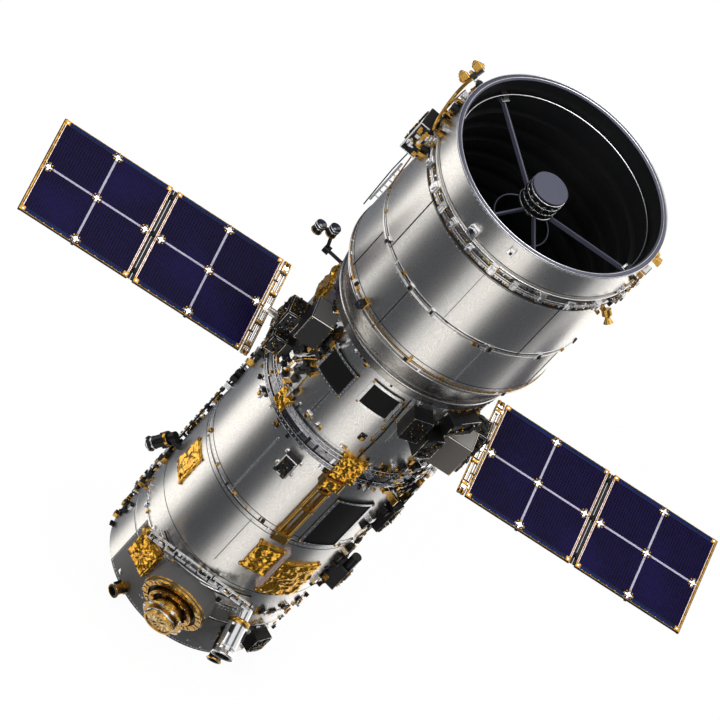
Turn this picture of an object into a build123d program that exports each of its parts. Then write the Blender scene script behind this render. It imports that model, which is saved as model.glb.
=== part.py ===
from build123d import *
import os
from math import cos, degrees, radians, sin, sqrt

# Space telescope standing on its launch ring, aperture up, wings out along X.
# All sizes are in millimetres. Angles round the tube are measured from +X towards +Y,
# so the side that the equipment faces is near -104 degrees.

# Fits
SEAT = 0.3                      # between curved faces that seat on each other
PIN_CLEARANCE = 1.0             # round a hinge pin, on the radius
KNUCKLE_GAP = 6.0               # between neighbouring hinge lugs
SHAFT_CLEARANCE = 0.5           # round a drive shaft in its bearing, on the radius
SHAFT_END_GAP = 8.0             # between a drive shaft's end and the bottom of its bearing
CUT = 1.0                       # by which a cutting tool overshoots a face

# Tube radii and walls
AFT_RADIUS = 1787.0
FORE_STEP = 313.0               # of the fore tube beyond the aft body
FORE_RADIUS = AFT_RADIUS + FORE_STEP
FORE_WALL = 60.0
SEAM_CHAMFER = 6.0
SEAM_BEAD = 16.0

# Lengths of the tube's sections, from the tail to the aperture
RING_HEIGHT = 120.0
BAY_LENGTH = 1500.0
LOWER_LENGTH = 2350.0
UPPER_LENGTH = 2150.0
FLANGE_LENGTH = 450.0
EQUIPMENT_LENGTH = 2100.0
SKIRT_LENGTH = 900.0
FORE_LOWER_LENGTH = 1200.0
FORE_UPPER_LENGTH = 1650.0
CLIP_RING_LENGTH = 250.0
BAND_LENGTH = 620.0
RIM_LENGTH = 30.0

Z_BAY = RING_HEIGHT
Z_LOWER = Z_BAY + BAY_LENGTH
Z_UPPER = Z_LOWER + LOWER_LENGTH
Z_FLANGE = Z_UPPER + UPPER_LENGTH
Z_EQUIPMENT = Z_FLANGE + FLANGE_LENGTH
Z_SKIRT = Z_EQUIPMENT + EQUIPMENT_LENGTH
Z_FORE = Z_SKIRT + SKIRT_LENGTH
Z_FORE_UPPER = Z_FORE + FORE_LOWER_LENGTH
Z_CLIP = Z_FORE_UPPER + FORE_UPPER_LENGTH
Z_BAND = Z_CLIP + CLIP_RING_LENGTH
Z_RIM = Z_BAND + BAND_LENGTH
Z_TOP = Z_RIM + RIM_LENGTH

# Launch ring
RING_INSET = 287.0              # of its flanges from the aft body's wall
RING_WIDTH = 160.0
RING_FLANGE_RADIUS = AFT_RADIUS - RING_INSET
RING_BORE_RADIUS = RING_FLANGE_RADIUS - RING_WIDTH
RING_WEB = 30.0
RING_FLANGE = 20.0
RING_BOLT_INSET = 55.0
RING_BOLT_CIRCLE = RING_FLANGE_RADIUS - RING_BOLT_INSET
RING_BOLTS = 24
RING_HOLE_RADIUS = 11.0

# Rings that stand proud of the tube
FLANGE_RISE = 75.0
FLANGE_RING = 110.0
FLANGE_GROOVE = 60.0
SKIRT_RING_RISE = 55.0
SKIRT_RING = 140.0
SKIRT_TOP_INSET = 45.0
CLIP_RISE = 32.0
CLIP_LIP = 55.0
CLIP_WIDTH = 150.0
CLIP_LENGTH = 190.0
CLIP_DEPTH = 65.0
CLIP_ANGLES = (-175.0, -147.0, -127.0, -99.0, -73.0, -42.0, -10.0, 30.0, 75.0, 115.0, 150.0)
RIM_RISE = 14.0

# Inside of the fore tube
LINER_GAP = 20.0
LINER_WALL = 20.0
BAFFLE_RINGS = 6
BAFFLE_DEPTH = 90.0
BAFFLE_THICKNESS = 14.0
INNER_RING_INSET = 165.0        # of the ring's middle line from the fore tube's wall
INNER_RING_DROP = 380.0
INNER_RING_TUBE = 16.0
MIRROR_INSET = 280.0            # of the mirror's edge from the fore tube's wall
MIRROR_RADIUS = FORE_RADIUS - MIRROR_INSET
MIRROR_THICKNESS = 260.0
MIRROR_BORE = 420.0
MIRROR_DISH = 120.0
MIRROR_MIDDLE = 0.74            # of the dish's depth, half way out
CELL_HEIGHT = 110.0
CENTRAL_BAFFLE_RADIUS = 545.0
CENTRAL_BAFFLE_WALL = 16.0
CENTRAL_BAFFLE_DROP = 1400.0

# Secondary mirror and its spider
SECONDARY_RADIUS = 345.0
SECONDARY_WAIST = 34.0          # of the housing's waist inside its bands
SECONDARY_DROP = 410.0
SECONDARY_DEPTH = 520.0
SECONDARY_BAND = 130.0
SECONDARY_COVER = 30.0
VANE_ANGLES = (136.0, -122.0, -83.0, -20.0)
VANE_THICKNESS = 34.0
VANE_HEIGHT = 90.0
VANE_CLIP = 130.0
CLIP_HALF = 20.0

# Bay panel and docking port on the aft bay
BAY_PANEL_START = -150.0
BAY_PANEL_END = -60.0
BAY_PANEL_PLAY = 0.1            # of the panel in its pocket, in degrees
BAY_PANEL_THICKNESS = 18.0
BAY_PANEL_MARGIN = 70.0         # above the panel
PORT_ANGLE = -101.0
PORT_CANT = 18.0
PORT_HEIGHT = 1050.0
PORT_REACH = 230.0
DRUM_RADIUS = 660.0
PORT_OUTER_RADIUS = 645.0
PORT_OUTER_BORE = 530.0
PORT_OUTER_RISE = 60.0
PORT_INNER_RADIUS = 460.0
PORT_INNER_BORE = 385.0
PORT_INNER_RISE = 130.0
PORT_CAP_RADIUS = 300.0
PORT_CAP_RISE = 520.0
PORT_CAP_DISH = 30.0
PORT_CAP_RIM = 40.0
PORT_LIP_RADIUS = 420.0
PORT_LIP_RISE = 330.0
PORT_LIP = 45.0

# Straight truss beam in front of the bay
TRUSS_STANDOFF = 78.0
TRUSS_FACE_ANGLE = -104.5
TRUSS_LEFT = -1137.0
TRUSS_RIGHT = 1230.0
TRUSS_Z_LEFT = 380.0            # above the bay
TRUSS_Z_RIGHT = 740.0           # above the bay
TRUSS_DEPTH = 150.0
TRUSS_TUBE = 24.0
TRUSS_RUNG = 17.0
TRUSS_RUNGS = 13
STRUT_DROP = 260.0              # of a strut's foot below the chord that it holds
STRUT_SHARE = 0.04              # of the beam's length, from its end to a strut

# Boxes and panels on the wall
BOX_CHAMFER = 14.0
BAY_BOX_WIDTH = 600.0
BAY_BOX_GAP = 44.0              # round the tube, from the docking port's drum
PANEL_RECESS = 14.0             # of a radiator's face inside its frame
MAST_ANGLE = -82.0
MAST_FOOT = 50.0                # above the seam
MAST_HEAD = 100.0               # below the ring flange
MAST_TUBE = 38.0
MAST_SPREAD = 3.2               # of the tubes from the middle, in degrees
MAST_FOOT_BOX = (320.0, 260.0, 130.0)
MAST_HEAD_BOX = (420.0, 300.0, 160.0)
RAIL_TUBE = 22.0
RAIL_FOOT = 15.0
RAIL_STANDOFF = 90.0
RAIL_FOOT_INSET = 150.0
RAIL_FEET = 6

# Solar wings
WING_RISE = 253.0               # of the drive shaft above the ring flange
WING_PITCH = 78.0               # of the panels' short side from the tube's axis
PANEL_LENGTH = 2270.0
PANEL_WIDTH = 2156.0
PANEL_THICKNESS = 44.0
PANEL_GAP = 120.0
STRIP_WIDTH = 44.0
STRIP_RISE = 5.0
RIB_WIDTH = 50.0
RIB_DEPTH = 34.0
RIB_SHARE = 0.3                 # of the width, from the middle to a rib
END_BAR = 44.0
FOLD_RISE = 50.0                # of the fold pin above the panels' middle plane
FOLD_PIN_RADIUS = 9.0
FOLD_EYE_RADIUS = 20.0
FOLD_LUG = 44.0
HINGE_INSET = 198.0             # of the outer hinges from the panels' long sides
HINGE_OFFSET = PANEL_WIDTH / 2 - HINGE_INSET
FOLD_HINGES = (-HINGE_OFFSET, 0.0, HINGE_OFFSET)
YOKE_TUBE = 26.0
YOKE_SPACING = 72.0
YOKE_ROOT = 140.0               # from the yoke's inner tube to the panel
YOKE_CLAMP = 1.6                # of a hinge lug, for the clamps' width
YOKE_CLAMP_LENGTH = 170.0
YOKE_CLAMP_HALF = 40.0
SHAFT_RADIUS = 75.0

# Drive units at the wings' roots
DRIVE_REACH = 323.0             # of the bearing's face beyond the wall
DRIVE_FACE = AFT_RADIUS + DRIVE_REACH
DRIVE_WIDTH = 700.0
DRIVE_HEIGHT = 620.0
BEARING_RADIUS = 190.0
BEARING_LENGTH = 60.0
SHAFT_DEPTH = 140.0             # of the shaft in its bearing
YOKE_STANDOFF = 190.0           # of the yoke from the bearing's face
YOKE_X = DRIVE_FACE + YOKE_STANDOFF
PANEL_ROOT = YOKE_X + YOKE_ROOT

FOOT = (Align.CENTER, Align.CENTER, Align.MIN)
HEAD = (Align.CENTER, Align.CENTER, Align.MAX)

os.makedirs("parts", exist_ok=True)


def save(name, shape):
    """Write one node."""
    shape.label = name
    export_step(shape, f"parts/{name}.step")


def apart(*shapes):
    """Pieces that share a node without touching."""
    return Compound(children=[solid for shape in shapes for solid in shape.solids()])


def revolved(*outline):
    """Turn an outline of (radius, height) points about the Z axis."""
    face = make_face(Polyline(*outline, close=True))
    return revolve(Plane.XZ * face, Axis.Z)


def ring(inner, outer, bottom, top):
    """A plain ring about the tube's axis."""
    return revolved((inner, bottom), (outer, bottom), (outer, top), (inner, top))


def hoop(radius, height, bead):
    """A round bead about the tube's axis."""
    return revolve(Plane.XZ * Pos(radius, height) * Circle(bead), Axis.Z)


def section(radius, bottom, top, inner=0.0):
    """A tube section with chamfered outer edges, so that neighbours meet in a grooved seam."""
    lip = radius - SEAM_CHAMFER
    return revolved(
        (inner, bottom), (lip, bottom), (radius, bottom + SEAM_CHAMFER),
        (radius, top - SEAM_CHAMFER), (lip, top), (inner, top),
    )


def sector(inner, outer, start, end, bottom, top):
    """A piece of a ring between two angles."""
    outline = Pos((inner + outer) / 2, (bottom + top) / 2) * Rectangle(outer - inner, top - bottom)
    return Rot(0, 0, start) * revolve(Plane.XZ * outline, Axis.Z, end - start)


def outward(angle):
    """Unit vector away from the axis."""
    return Vector(cos(radians(angle)), sin(radians(angle)), 0)


def wall_frame(angle, radius, height):
    """Place on the wall: X runs round the tube, Y along it and Z out of it."""
    across = Vector(-sin(radians(angle)), cos(radians(angle)), 0)
    place = outward(angle) * radius + Vector(0, 0, height)
    return Plane(origin=place, x_dir=across, z_dir=outward(angle)).location


def seated(shape, radius):
    """Cut a piece's foot to the curve of the wall that it stands on."""
    box = shape.bounding_box()
    tube = Pos(0, 0, box.min.Z - CUT) * Cylinder(radius + SEAT, box.size.Z + 2 * CUT, align=FOOT)
    return shape - tube


def fall(radius, width):
    """How far a round wall falls away over half a width."""
    return radius - sqrt(radius**2 - (width / 2) ** 2)


def bevelled(block, size):
    """Chamfer the outer end and the upright edges of a box that stands on XY."""
    edges = block.edges().group_by(Axis.Z)[-1] + block.edges().filter_by(Axis.Z)
    return chamfer(edges, size)


def wall_box(radius, angle, height, width, length, depth, bevel=BOX_CHAMFER):
    """A chamfered box standing on the wall, with its foot cut to the curve."""
    sink = fall(radius, width) + SEAT
    block = bevelled(Box(width, length, depth + sink, align=FOOT), bevel)
    return seated(wall_frame(angle, radius - sink, height) * block, radius)


def rod(start, end, radius):
    """A round bar between two points."""
    path = Vector(*end) - Vector(*start)
    plane = Plane(origin=start, z_dir=path)
    return plane.location * Cylinder(radius, path.length, align=FOOT)


def fuse(*shapes):
    """Join pieces of one casting."""
    whole = shapes[0]
    for shape in shapes[1:]:
        whole = whole + shape
    return whole


# Tube sections: node, radius, bottom, top, inner radius, heights of the beads above the bottom
TUBE_SECTIONS = (
    ("lower_shell", AFT_RADIUS, Z_LOWER, Z_UPPER, 0.0, ()),
    ("upper_shell", AFT_RADIUS, Z_UPPER, Z_FLANGE, 0.0, ()),
    ("equipment_shell", AFT_RADIUS, Z_EQUIPMENT, Z_SKIRT, 0.0, ()),
    ("fore_shell_lower", FORE_RADIUS, Z_FORE, Z_FORE_UPPER, FORE_RADIUS - FORE_WALL, (35.0, 85.0)),
    ("fore_shell_upper", FORE_RADIUS, Z_FORE_UPPER, Z_CLIP, FORE_RADIUS - FORE_WALL, (30.0,)),
    ("aperture_band", FORE_RADIUS, Z_BAND, Z_RIM, FORE_RADIUS - FORE_WALL, ()),
)
for node, radius, bottom, top, inner, beads in TUBE_SECTIONS:
    hoops = [hoop(radius, bottom + bead, SEAM_BEAD) for bead in beads]
    save(node, fuse(section(radius, bottom, top, inner), *hoops))

# Aft bay with the pocket for its panel
panel_bottom = Z_BAY + SEAM_CHAMFER
panel_top = Z_LOWER - BAY_PANEL_MARGIN
panel_inner = AFT_RADIUS - BAY_PANEL_THICKNESS
pocket = sector(
    panel_inner - SEAT, AFT_RADIUS + CUT, BAY_PANEL_START, BAY_PANEL_END, panel_bottom, panel_top
)
save("aft_bay", section(AFT_RADIUS, Z_BAY, Z_LOWER) - pocket)
save("bay_panel", sector(
    panel_inner, AFT_RADIUS, BAY_PANEL_START + BAY_PANEL_PLAY, BAY_PANEL_END - BAY_PANEL_PLAY,
    panel_bottom, panel_top,
))

# Launch ring: a channel with two flanges
web_inner = RING_BORE_RADIUS + RING_WEB
launch_ring = revolved(
    (RING_BORE_RADIUS, 0), (RING_FLANGE_RADIUS, 0), (RING_FLANGE_RADIUS, RING_FLANGE),
    (web_inner, RING_FLANGE), (web_inner, RING_HEIGHT - RING_FLANGE),
    (RING_FLANGE_RADIUS, RING_HEIGHT - RING_FLANGE), (RING_FLANGE_RADIUS, RING_HEIGHT),
    (RING_BORE_RADIUS, RING_HEIGHT),
)
bolt_holes = PolarLocations(RING_BOLT_CIRCLE, RING_BOLTS) * Cylinder(RING_HOLE_RADIUS, 3 * RING_FLANGE)
save("launch_ring", launch_ring - bolt_holes)

# Ring flange between the aft body and the equipment section: two rings and a groove
flange_outer = AFT_RADIUS + FLANGE_RISE
groove_bottom = Z_FLANGE + FLANGE_RING
groove_top = groove_bottom + FLANGE_GROOVE
save("ring_flange", revolved(
    (0, Z_FLANGE), (flange_outer, Z_FLANGE), (flange_outer, groove_bottom),
    (AFT_RADIUS + FLANGE_RISE / 3, groove_bottom), (AFT_RADIUS + FLANGE_RISE / 3, groove_top),
    (flange_outer, groove_top), (flange_outer, groove_top + FLANGE_RING),
    (AFT_RADIUS, groove_top + FLANGE_RING + FLANGE_RISE), (AFT_RADIUS, Z_EQUIPMENT), (0, Z_EQUIPMENT),
))

# Skirt: a collar ring, then a cone that widens to the fore tube
skirt_outer = FORE_RADIUS - SKIRT_TOP_INSET
collar_outer = AFT_RADIUS + SKIRT_RING_RISE
collar_top = Z_SKIRT + SKIRT_RING
save("skirt_cone", revolved(
    (0, Z_SKIRT), (collar_outer, Z_SKIRT), (collar_outer, collar_top),
    (AFT_RADIUS + SKIRT_RING_RISE / 3, collar_top), (skirt_outer, Z_FORE), (0, Z_FORE),
))

# Clip ring: two lips with a channel between them, and the clips that bridge it
clip_inner = FORE_RADIUS - FORE_WALL
clip_outer = FORE_RADIUS + CLIP_RISE
clip_ring = revolved(
    (clip_inner, Z_CLIP), (clip_outer, Z_CLIP), (clip_outer, Z_CLIP + CLIP_LIP),
    (FORE_RADIUS, Z_CLIP + CLIP_LIP), (FORE_RADIUS, Z_BAND - CLIP_LIP),
    (clip_outer, Z_BAND - CLIP_LIP), (clip_outer, Z_BAND), (clip_inner, Z_BAND),
)
for angle in CLIP_ANGLES:
    clip_ring = clip_ring + wall_box(
        FORE_RADIUS, angle, (Z_CLIP + Z_BAND) / 2, CLIP_WIDTH, CLIP_LENGTH, CLIP_DEPTH
    )
save("clip_ring", clip_ring)

# Rim: a rounded bezel round the aperture
liner_outer = FORE_RADIUS - FORE_WALL - LINER_GAP
liner_inner = liner_outer - LINER_WALL
rim_middle = (liner_inner + FORE_RADIUS + RIM_RISE) / 2
rim_half = (FORE_RADIUS + RIM_RISE - liner_inner) / 2
rim_profile = make_face(
    Polyline((rim_middle + rim_half, Z_RIM + SEAT), (rim_middle - rim_half, Z_RIM + SEAT))
    + ThreePointArc(
        (rim_middle - rim_half, Z_RIM + SEAT), (rim_middle, Z_TOP), (rim_middle + rim_half, Z_RIM + SEAT)
    )
)
save("rim", revolve(Plane.XZ * rim_profile, Axis.Z))

# Liner: a black tube with baffle rings inside
liner = ring(liner_inner, liner_outer, Z_FORE, Z_RIM)
baffle_span = Z_CLIP - Z_FORE - CELL_HEIGHT - MIRROR_THICKNESS
baffle_pitch = baffle_span / BAFFLE_RINGS
for index in range(BAFFLE_RINGS):
    height = Z_CLIP - index * baffle_pitch
    liner = liner + ring(liner_inner - BAFFLE_DEPTH, liner_inner, height - BAFFLE_THICKNESS, height)
liner = liner + ring(liner_outer, FORE_RADIUS - FORE_WALL - SEAT, Z_RIM - 2 * BAFFLE_THICKNESS, Z_RIM)
save("baffle_liner", liner)

# Primary mirror: a dished disc with a central hole, in its cell
mirror_bottom = Z_FORE + CELL_HEIGHT
mirror_edge = mirror_bottom + MIRROR_THICKNESS
mirror_profile = make_face(
    Polyline(
        (MIRROR_BORE, mirror_edge - MIRROR_DISH), (MIRROR_BORE, mirror_bottom),
        (MIRROR_RADIUS, mirror_bottom), (MIRROR_RADIUS, mirror_edge),
    )
    + ThreePointArc(
        (MIRROR_RADIUS, mirror_edge),
        ((MIRROR_RADIUS + MIRROR_BORE) / 2, mirror_edge - MIRROR_DISH * MIRROR_MIDDLE),
        (MIRROR_BORE, mirror_edge - MIRROR_DISH),
    )
)
save("primary_mirror", revolve(Plane.XZ * mirror_profile, Axis.Z))
save("mirror_cell", ring(0, liner_inner - SEAT, Z_FORE, mirror_bottom))
baffle_top = Z_TOP - CENTRAL_BAFFLE_DROP
baffle_seat = MIRROR_BORE - SEAT
save("central_baffle", revolved(
    (baffle_seat - CENTRAL_BAFFLE_WALL, mirror_bottom), (baffle_seat, mirror_bottom),
    (baffle_seat, mirror_edge), (CENTRAL_BAFFLE_RADIUS, baffle_top),
    (CENTRAL_BAFFLE_RADIUS - CENTRAL_BAFFLE_WALL, baffle_top),
    (baffle_seat - CENTRAL_BAFFLE_WALL, mirror_edge),
))

# Secondary mirror housing, its cover and the spider's four vanes
secondary_top = Z_TOP - SECONDARY_DROP
secondary_bottom = secondary_top - SECONDARY_DEPTH
cover_bottom = secondary_top - SECONDARY_COVER
band_bottom = cover_bottom - SECONDARY_BAND
waist = SECONDARY_RADIUS - SECONDARY_WAIST
save("secondary_housing", revolved(
    (0, secondary_bottom), (SECONDARY_RADIUS, secondary_bottom),
    (SECONDARY_RADIUS, secondary_bottom + SECONDARY_BAND / 2),
    (waist, secondary_bottom + SECONDARY_BAND / 2), (waist, band_bottom - SECONDARY_BAND / 2),
    (SECONDARY_RADIUS, band_bottom - SECONDARY_BAND / 2), (SECONDARY_RADIUS, band_bottom),
    (waist, band_bottom), (waist, cover_bottom), (0, cover_bottom),
))
save("secondary_cover", ring(0, SECONDARY_RADIUS, cover_bottom, secondary_top))

inner_ring_z = Z_TOP - INNER_RING_DROP
inner_ring = hoop(FORE_RADIUS - INNER_RING_INSET, inner_ring_z, INNER_RING_TUBE)
vanes = []
for angle in VANE_ANGLES:
    root = outward(angle) * (SECONDARY_RADIUS + SEAT)
    tip = outward(angle) * (liner_inner - SEAT)
    root_z = secondary_bottom + SECONDARY_BAND / 4
    tip_z = inner_ring_z - CLIP_HALF - VANE_HEIGHT
    side = make_face(Polyline(
        (root.length, root_z - VANE_HEIGHT / 2), (tip.length - VANE_CLIP, tip_z - VANE_HEIGHT / 2),
        (tip.length, tip_z - VANE_HEIGHT), (tip.length, tip_z + VANE_HEIGHT),
        (tip.length - VANE_CLIP, tip_z + VANE_HEIGHT / 2), (root.length, root_z + VANE_HEIGHT / 2),
        close=True,
    ))
    vane = extrude(Plane.XZ * side, VANE_THICKNESS / 2, both=True)
    vane = vane - Cylinder(SECONDARY_RADIUS + SEAT, 4 * Z_TOP)
    vane = vane & Cylinder(liner_inner - SEAT, 4 * Z_TOP)
    vanes.append(Rot(0, 0, angle) * vane)
clips = []
for angle in VANE_ANGLES:
    frame = wall_frame(angle, liner_inner - SEAT - VANE_CLIP / 2, inner_ring_z)
    clip = frame * Box(VANE_CLIP, 2 * CLIP_HALF, VANE_CLIP)
    clips.append(clip & Cylinder(liner_inner - SEAT, 4 * Z_TOP))
save("inner_ring", fuse(inner_ring, *clips))
save("spider", apart(*vanes))

# Docking port: a canted drum on the bay's wall, two rings and a cap with a lip
port_axis = outward(PORT_ANGLE) * cos(radians(PORT_CANT)) - Vector(0, 0, sin(radians(PORT_CANT)))
port_origin = outward(PORT_ANGLE) * (AFT_RADIUS + PORT_REACH) + Vector(0, 0, Z_BAY + PORT_HEIGHT)
port_across = Vector(-sin(radians(PORT_ANGLE)), cos(radians(PORT_ANGLE)), 0)
port_frame = Plane(origin=port_origin, x_dir=port_across, z_dir=port_axis).location
drum = port_frame * Cylinder(DRUM_RADIUS, DRUM_RADIUS, align=HEAD)
save("docking_drum", seated(drum, AFT_RADIUS))
save("docking_outer_ring", port_frame * ring(PORT_OUTER_BORE, PORT_OUTER_RADIUS, 0, PORT_OUTER_RISE))
save("docking_inner_ring", port_frame * ring(PORT_INNER_BORE, PORT_INNER_RADIUS, 0, PORT_INNER_RISE))
cap = Cylinder(PORT_CAP_RADIUS, PORT_CAP_RISE, align=FOOT)
cap = cap + Pos(0, 0, PORT_LIP_RISE) * Cylinder(PORT_LIP_RADIUS, PORT_LIP, align=FOOT)
dish = Cylinder(PORT_CAP_RADIUS - PORT_CAP_RIM, PORT_CAP_DISH, align=HEAD)
save("docking_cap", port_frame * (cap - Pos(0, 0, PORT_CAP_RISE) * dish))

# Truss beam across the bay: two chords, rungs and struts down to the wall
truss_out = outward(TRUSS_FACE_ANGLE)
truss_across = Vector(-sin(radians(TRUSS_FACE_ANGLE)), cos(radians(TRUSS_FACE_ANGLE)), 0)


def truss_point(share, drop):
    """A point on the beam: share runs from the left end to the right one."""
    along = TRUSS_LEFT + (TRUSS_RIGHT - TRUSS_LEFT) * share
    height = Z_LOWER + TRUSS_Z_LEFT + (TRUSS_Z_RIGHT - TRUSS_Z_LEFT) * share - drop
    return truss_out * (AFT_RADIUS + TRUSS_STANDOFF) + truss_across * along + Vector(0, 0, height)


truss = rod(truss_point(0, 0), truss_point(1, 0), TRUSS_TUBE)
truss = truss + rod(truss_point(0, TRUSS_DEPTH), truss_point(1, TRUSS_DEPTH), TRUSS_TUBE)
for index in range(TRUSS_RUNGS):
    share = (index + 0.5) / TRUSS_RUNGS
    truss = truss + rod(truss_point(share, 0), truss_point(share, TRUSS_DEPTH), TRUSS_RUNG)
for share in (STRUT_SHARE, 1 - STRUT_SHARE):
    top = truss_point(share, TRUSS_DEPTH)
    foot = Vector(top.X, top.Y, 0).normalized() * (AFT_RADIUS - 2 * TRUSS_TUBE)
    foot = foot + Vector(0, 0, top.Z - STRUT_DROP)
    truss = truss + seated(rod(foot, top, TRUSS_TUBE), AFT_RADIUS)
save("bay_truss", truss)

# Curved panels on the wall: node, start angle, end angle, bottom, top, thickness, width of the
# raised frame (none where it is zero)
CURVED_PANELS = (
    ("aft_radiator", -71.0, -46.0, Z_UPPER + 50.0, Z_FLANGE - 650.0, 45.0, 55.0),
    ("gold_patch_left", -165.0, -150.0, Z_LOWER + 1200.0, Z_UPPER - 350.0, 45.0, 0.0),
    ("gold_patch_right", -88.0, -72.5, Z_LOWER + 1200.0, Z_UPPER - 370.0, 60.0, 0.0),
    ("gold_patch_far", -69.0, -43.0, Z_LOWER + 720.0, Z_UPPER - 650.0, 60.0, 0.0),
    ("radiator_left", -134.0, -111.0, Z_SKIRT - 1100.0, Z_SKIRT - 400.0, 45.0, 45.0),
    ("radiator_right", -104.0, -83.0, Z_SKIRT - 850.0, Z_SKIRT - 190.0, 45.0, 45.0),
    ("gold_patch_skirt", 172.0, 189.0, Z_SKIRT - 880.0, Z_SKIRT - 180.0, 60.0, 0.0),
)
for node, start, end, bottom, top, depth, rail in CURVED_PANELS:
    plate = sector(AFT_RADIUS + SEAT, AFT_RADIUS + depth, start, end, bottom, top)
    if rail:
        inset = degrees(rail / AFT_RADIUS)
        face = AFT_RADIUS + depth - PANEL_RECESS
        plate = plate - sector(
            face, AFT_RADIUS + depth + CUT, start + inset, end - inset, bottom + rail, top - rail
        )
    save(node, plate)

# Boxes on the wall: node, wall radius, then for each box its angle, the height of its middle,
# width, length and depth
bay_box_angle = PORT_ANGLE - degrees((DRUM_RADIUS + BAY_BOX_GAP + BAY_BOX_WIDTH / 2) / AFT_RADIUS)
WALL_BOXES = (
    ("gold_bay_box", AFT_RADIUS, ((bay_box_angle, Z_BAY + 1080.0, BAY_BOX_WIDTH, 640.0, 120.0),)),
    ("small_black_box", AFT_RADIUS, ((-107.0, Z_FLANGE - 550.0, 290.0, 480.0, 140.0),)),
    ("fore_box", FORE_RADIUS, ((168.0, Z_CLIP - 480.0, 480.0, 760.0, 330.0),)),
    ("rail_box", AFT_RADIUS, ((-26.0, Z_UPPER + 950.0, 300.0, 700.0, 220.0),)),
    ("tail_box", AFT_RADIUS, ((-40.0, Z_BAY + 620.0, 380.0, 420.0, 230.0),)),
    ("drive_electronics", AFT_RADIUS, (
        (-70.5, Z_SKIRT - 500.0, 400.0, 620.0, 300.0),
        (-57.0, Z_SKIRT - 890.0, 380.0, 560.0, 330.0),
        (-45.5, Z_SKIRT - 330.0, 620.0, 400.0, 260.0),
    )),
    ("aperture_sensors", FORE_RADIUS, (
        (-98.0, Z_BAND + 390.0, 120.0, 150.0, 60.0),
        (-117.5, Z_BAND + 130.0, 190.0, 190.0, 70.0),
        (-16.0, Z_RIM - 170.0, 140.0, 240.0, 110.0),
    )),
)
for node, radius, places in WALL_BOXES:
    save(node, apart(*[wall_box(radius, *place) for place in places]))

# Gold mast stowed along the aft body: two tubes, a foot and a wrapped head
mast_bottom = Z_UPPER + MAST_FOOT
mast_top = Z_FLANGE - MAST_HEAD - MAST_HEAD_BOX[1] / 2
mast = fuse(
    wall_box(AFT_RADIUS, MAST_ANGLE, mast_bottom, *MAST_FOOT_BOX),
    wall_box(AFT_RADIUS, MAST_ANGLE, mast_top, *MAST_HEAD_BOX),
)
for side in (-1, 1):
    tube_place = outward(MAST_ANGLE + side * MAST_SPREAD) * (AFT_RADIUS + 2 * MAST_TUBE)
    mast = mast + rod(tube_place + Vector(0, 0, mast_bottom), tube_place + Vector(0, 0, mast_top), MAST_TUBE)
save("gold_mast", mast)


def telescope_tube(radius, length, bore):
    """A sensor tube with a rear cap, a collar, a flared lip and a bore, along +Z."""
    rear, collar, lip = 0.8 * radius, 1.12 * radius, 1.2 * radius
    return revolved(
        (0, 0), (rear, 0), (rear, 0.25 * length), (collar, 0.25 * length), (collar, 0.36 * length),
        (radius, 0.36 * length), (radius, 0.9 * length), (lip, length), (bore, length),
        (bore, 0.45 * length), (0, 0.45 * length),
    )


def bell(radius, length, bore):
    """A thruster: a round valve body, a throat and a bell, along +Z."""
    throat = radius / 2
    return revolved(
        (0, 0), (radius, 0), (radius, 0.45 * length), (throat, 0.55 * length), (throat, 0.62 * length),
        (radius, length), (bore, length), (throat / 2, 0.7 * length), (0, 0.7 * length),
    )


# Tubes on posts, such as star trackers, cameras and thrusters
# Columns: node, form, wall radius, angle, height, stand-off, tube radius, length, bore radius,
# tilt of the open end from straight out towards the tail, swing of that tilt round the post
TRACKERS = (
    ("star_tracker", telescope_tube, AFT_RADIUS, -67.0, Z_BAY + 1430.0, 250.0, 185.0, 1000.0, 150.0,
     34.0, -32.0),
    ("second_tracker", telescope_tube, AFT_RADIUS, -66.0, Z_BAY + 850.0, 200.0, 120.0, 700.0, 95.0,
     34.0, -32.0),
    ("side_camera", telescope_tube, AFT_RADIUS, 176.0, Z_LOWER + 950.0, 250.0, 120.0, 620.0, 95.0, 64.0, 0.0),
    ("fore_thruster", bell, FORE_RADIUS, -26.0, Z_CLIP - 350.0, 120.0, 90.0, 260.0, 75.0, 40.0, 0.0),
    ("tail_thruster", telescope_tube, AFT_RADIUS, -128.0, Z_BAY + 170.0, 110.0, 110.0, 330.0, 85.0, 8.0, 0.0),
)
POST_SHARE = 0.55               # of a post's radius to the radius of the tube that it carries
REAR_SHARE = 0.3                # of a tube's length behind its post
for node, form, radius, angle, height, standoff, tube, length, bore, tilt, swing in TRACKERS:
    body = Rot(0, 0, swing) * (Rot(tilt, 0, 0) * (Pos(0, 0, -REAR_SHARE * length) * form(tube, length, bore)))
    post = Pos(0, 0, standoff) * Cylinder(POST_SHARE * tube, standoff + tube, align=HEAD)
    placed = wall_frame(angle, radius, height) * (Pos(0, 0, standoff) * body + post)
    save(node, seated(placed, radius))

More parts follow.
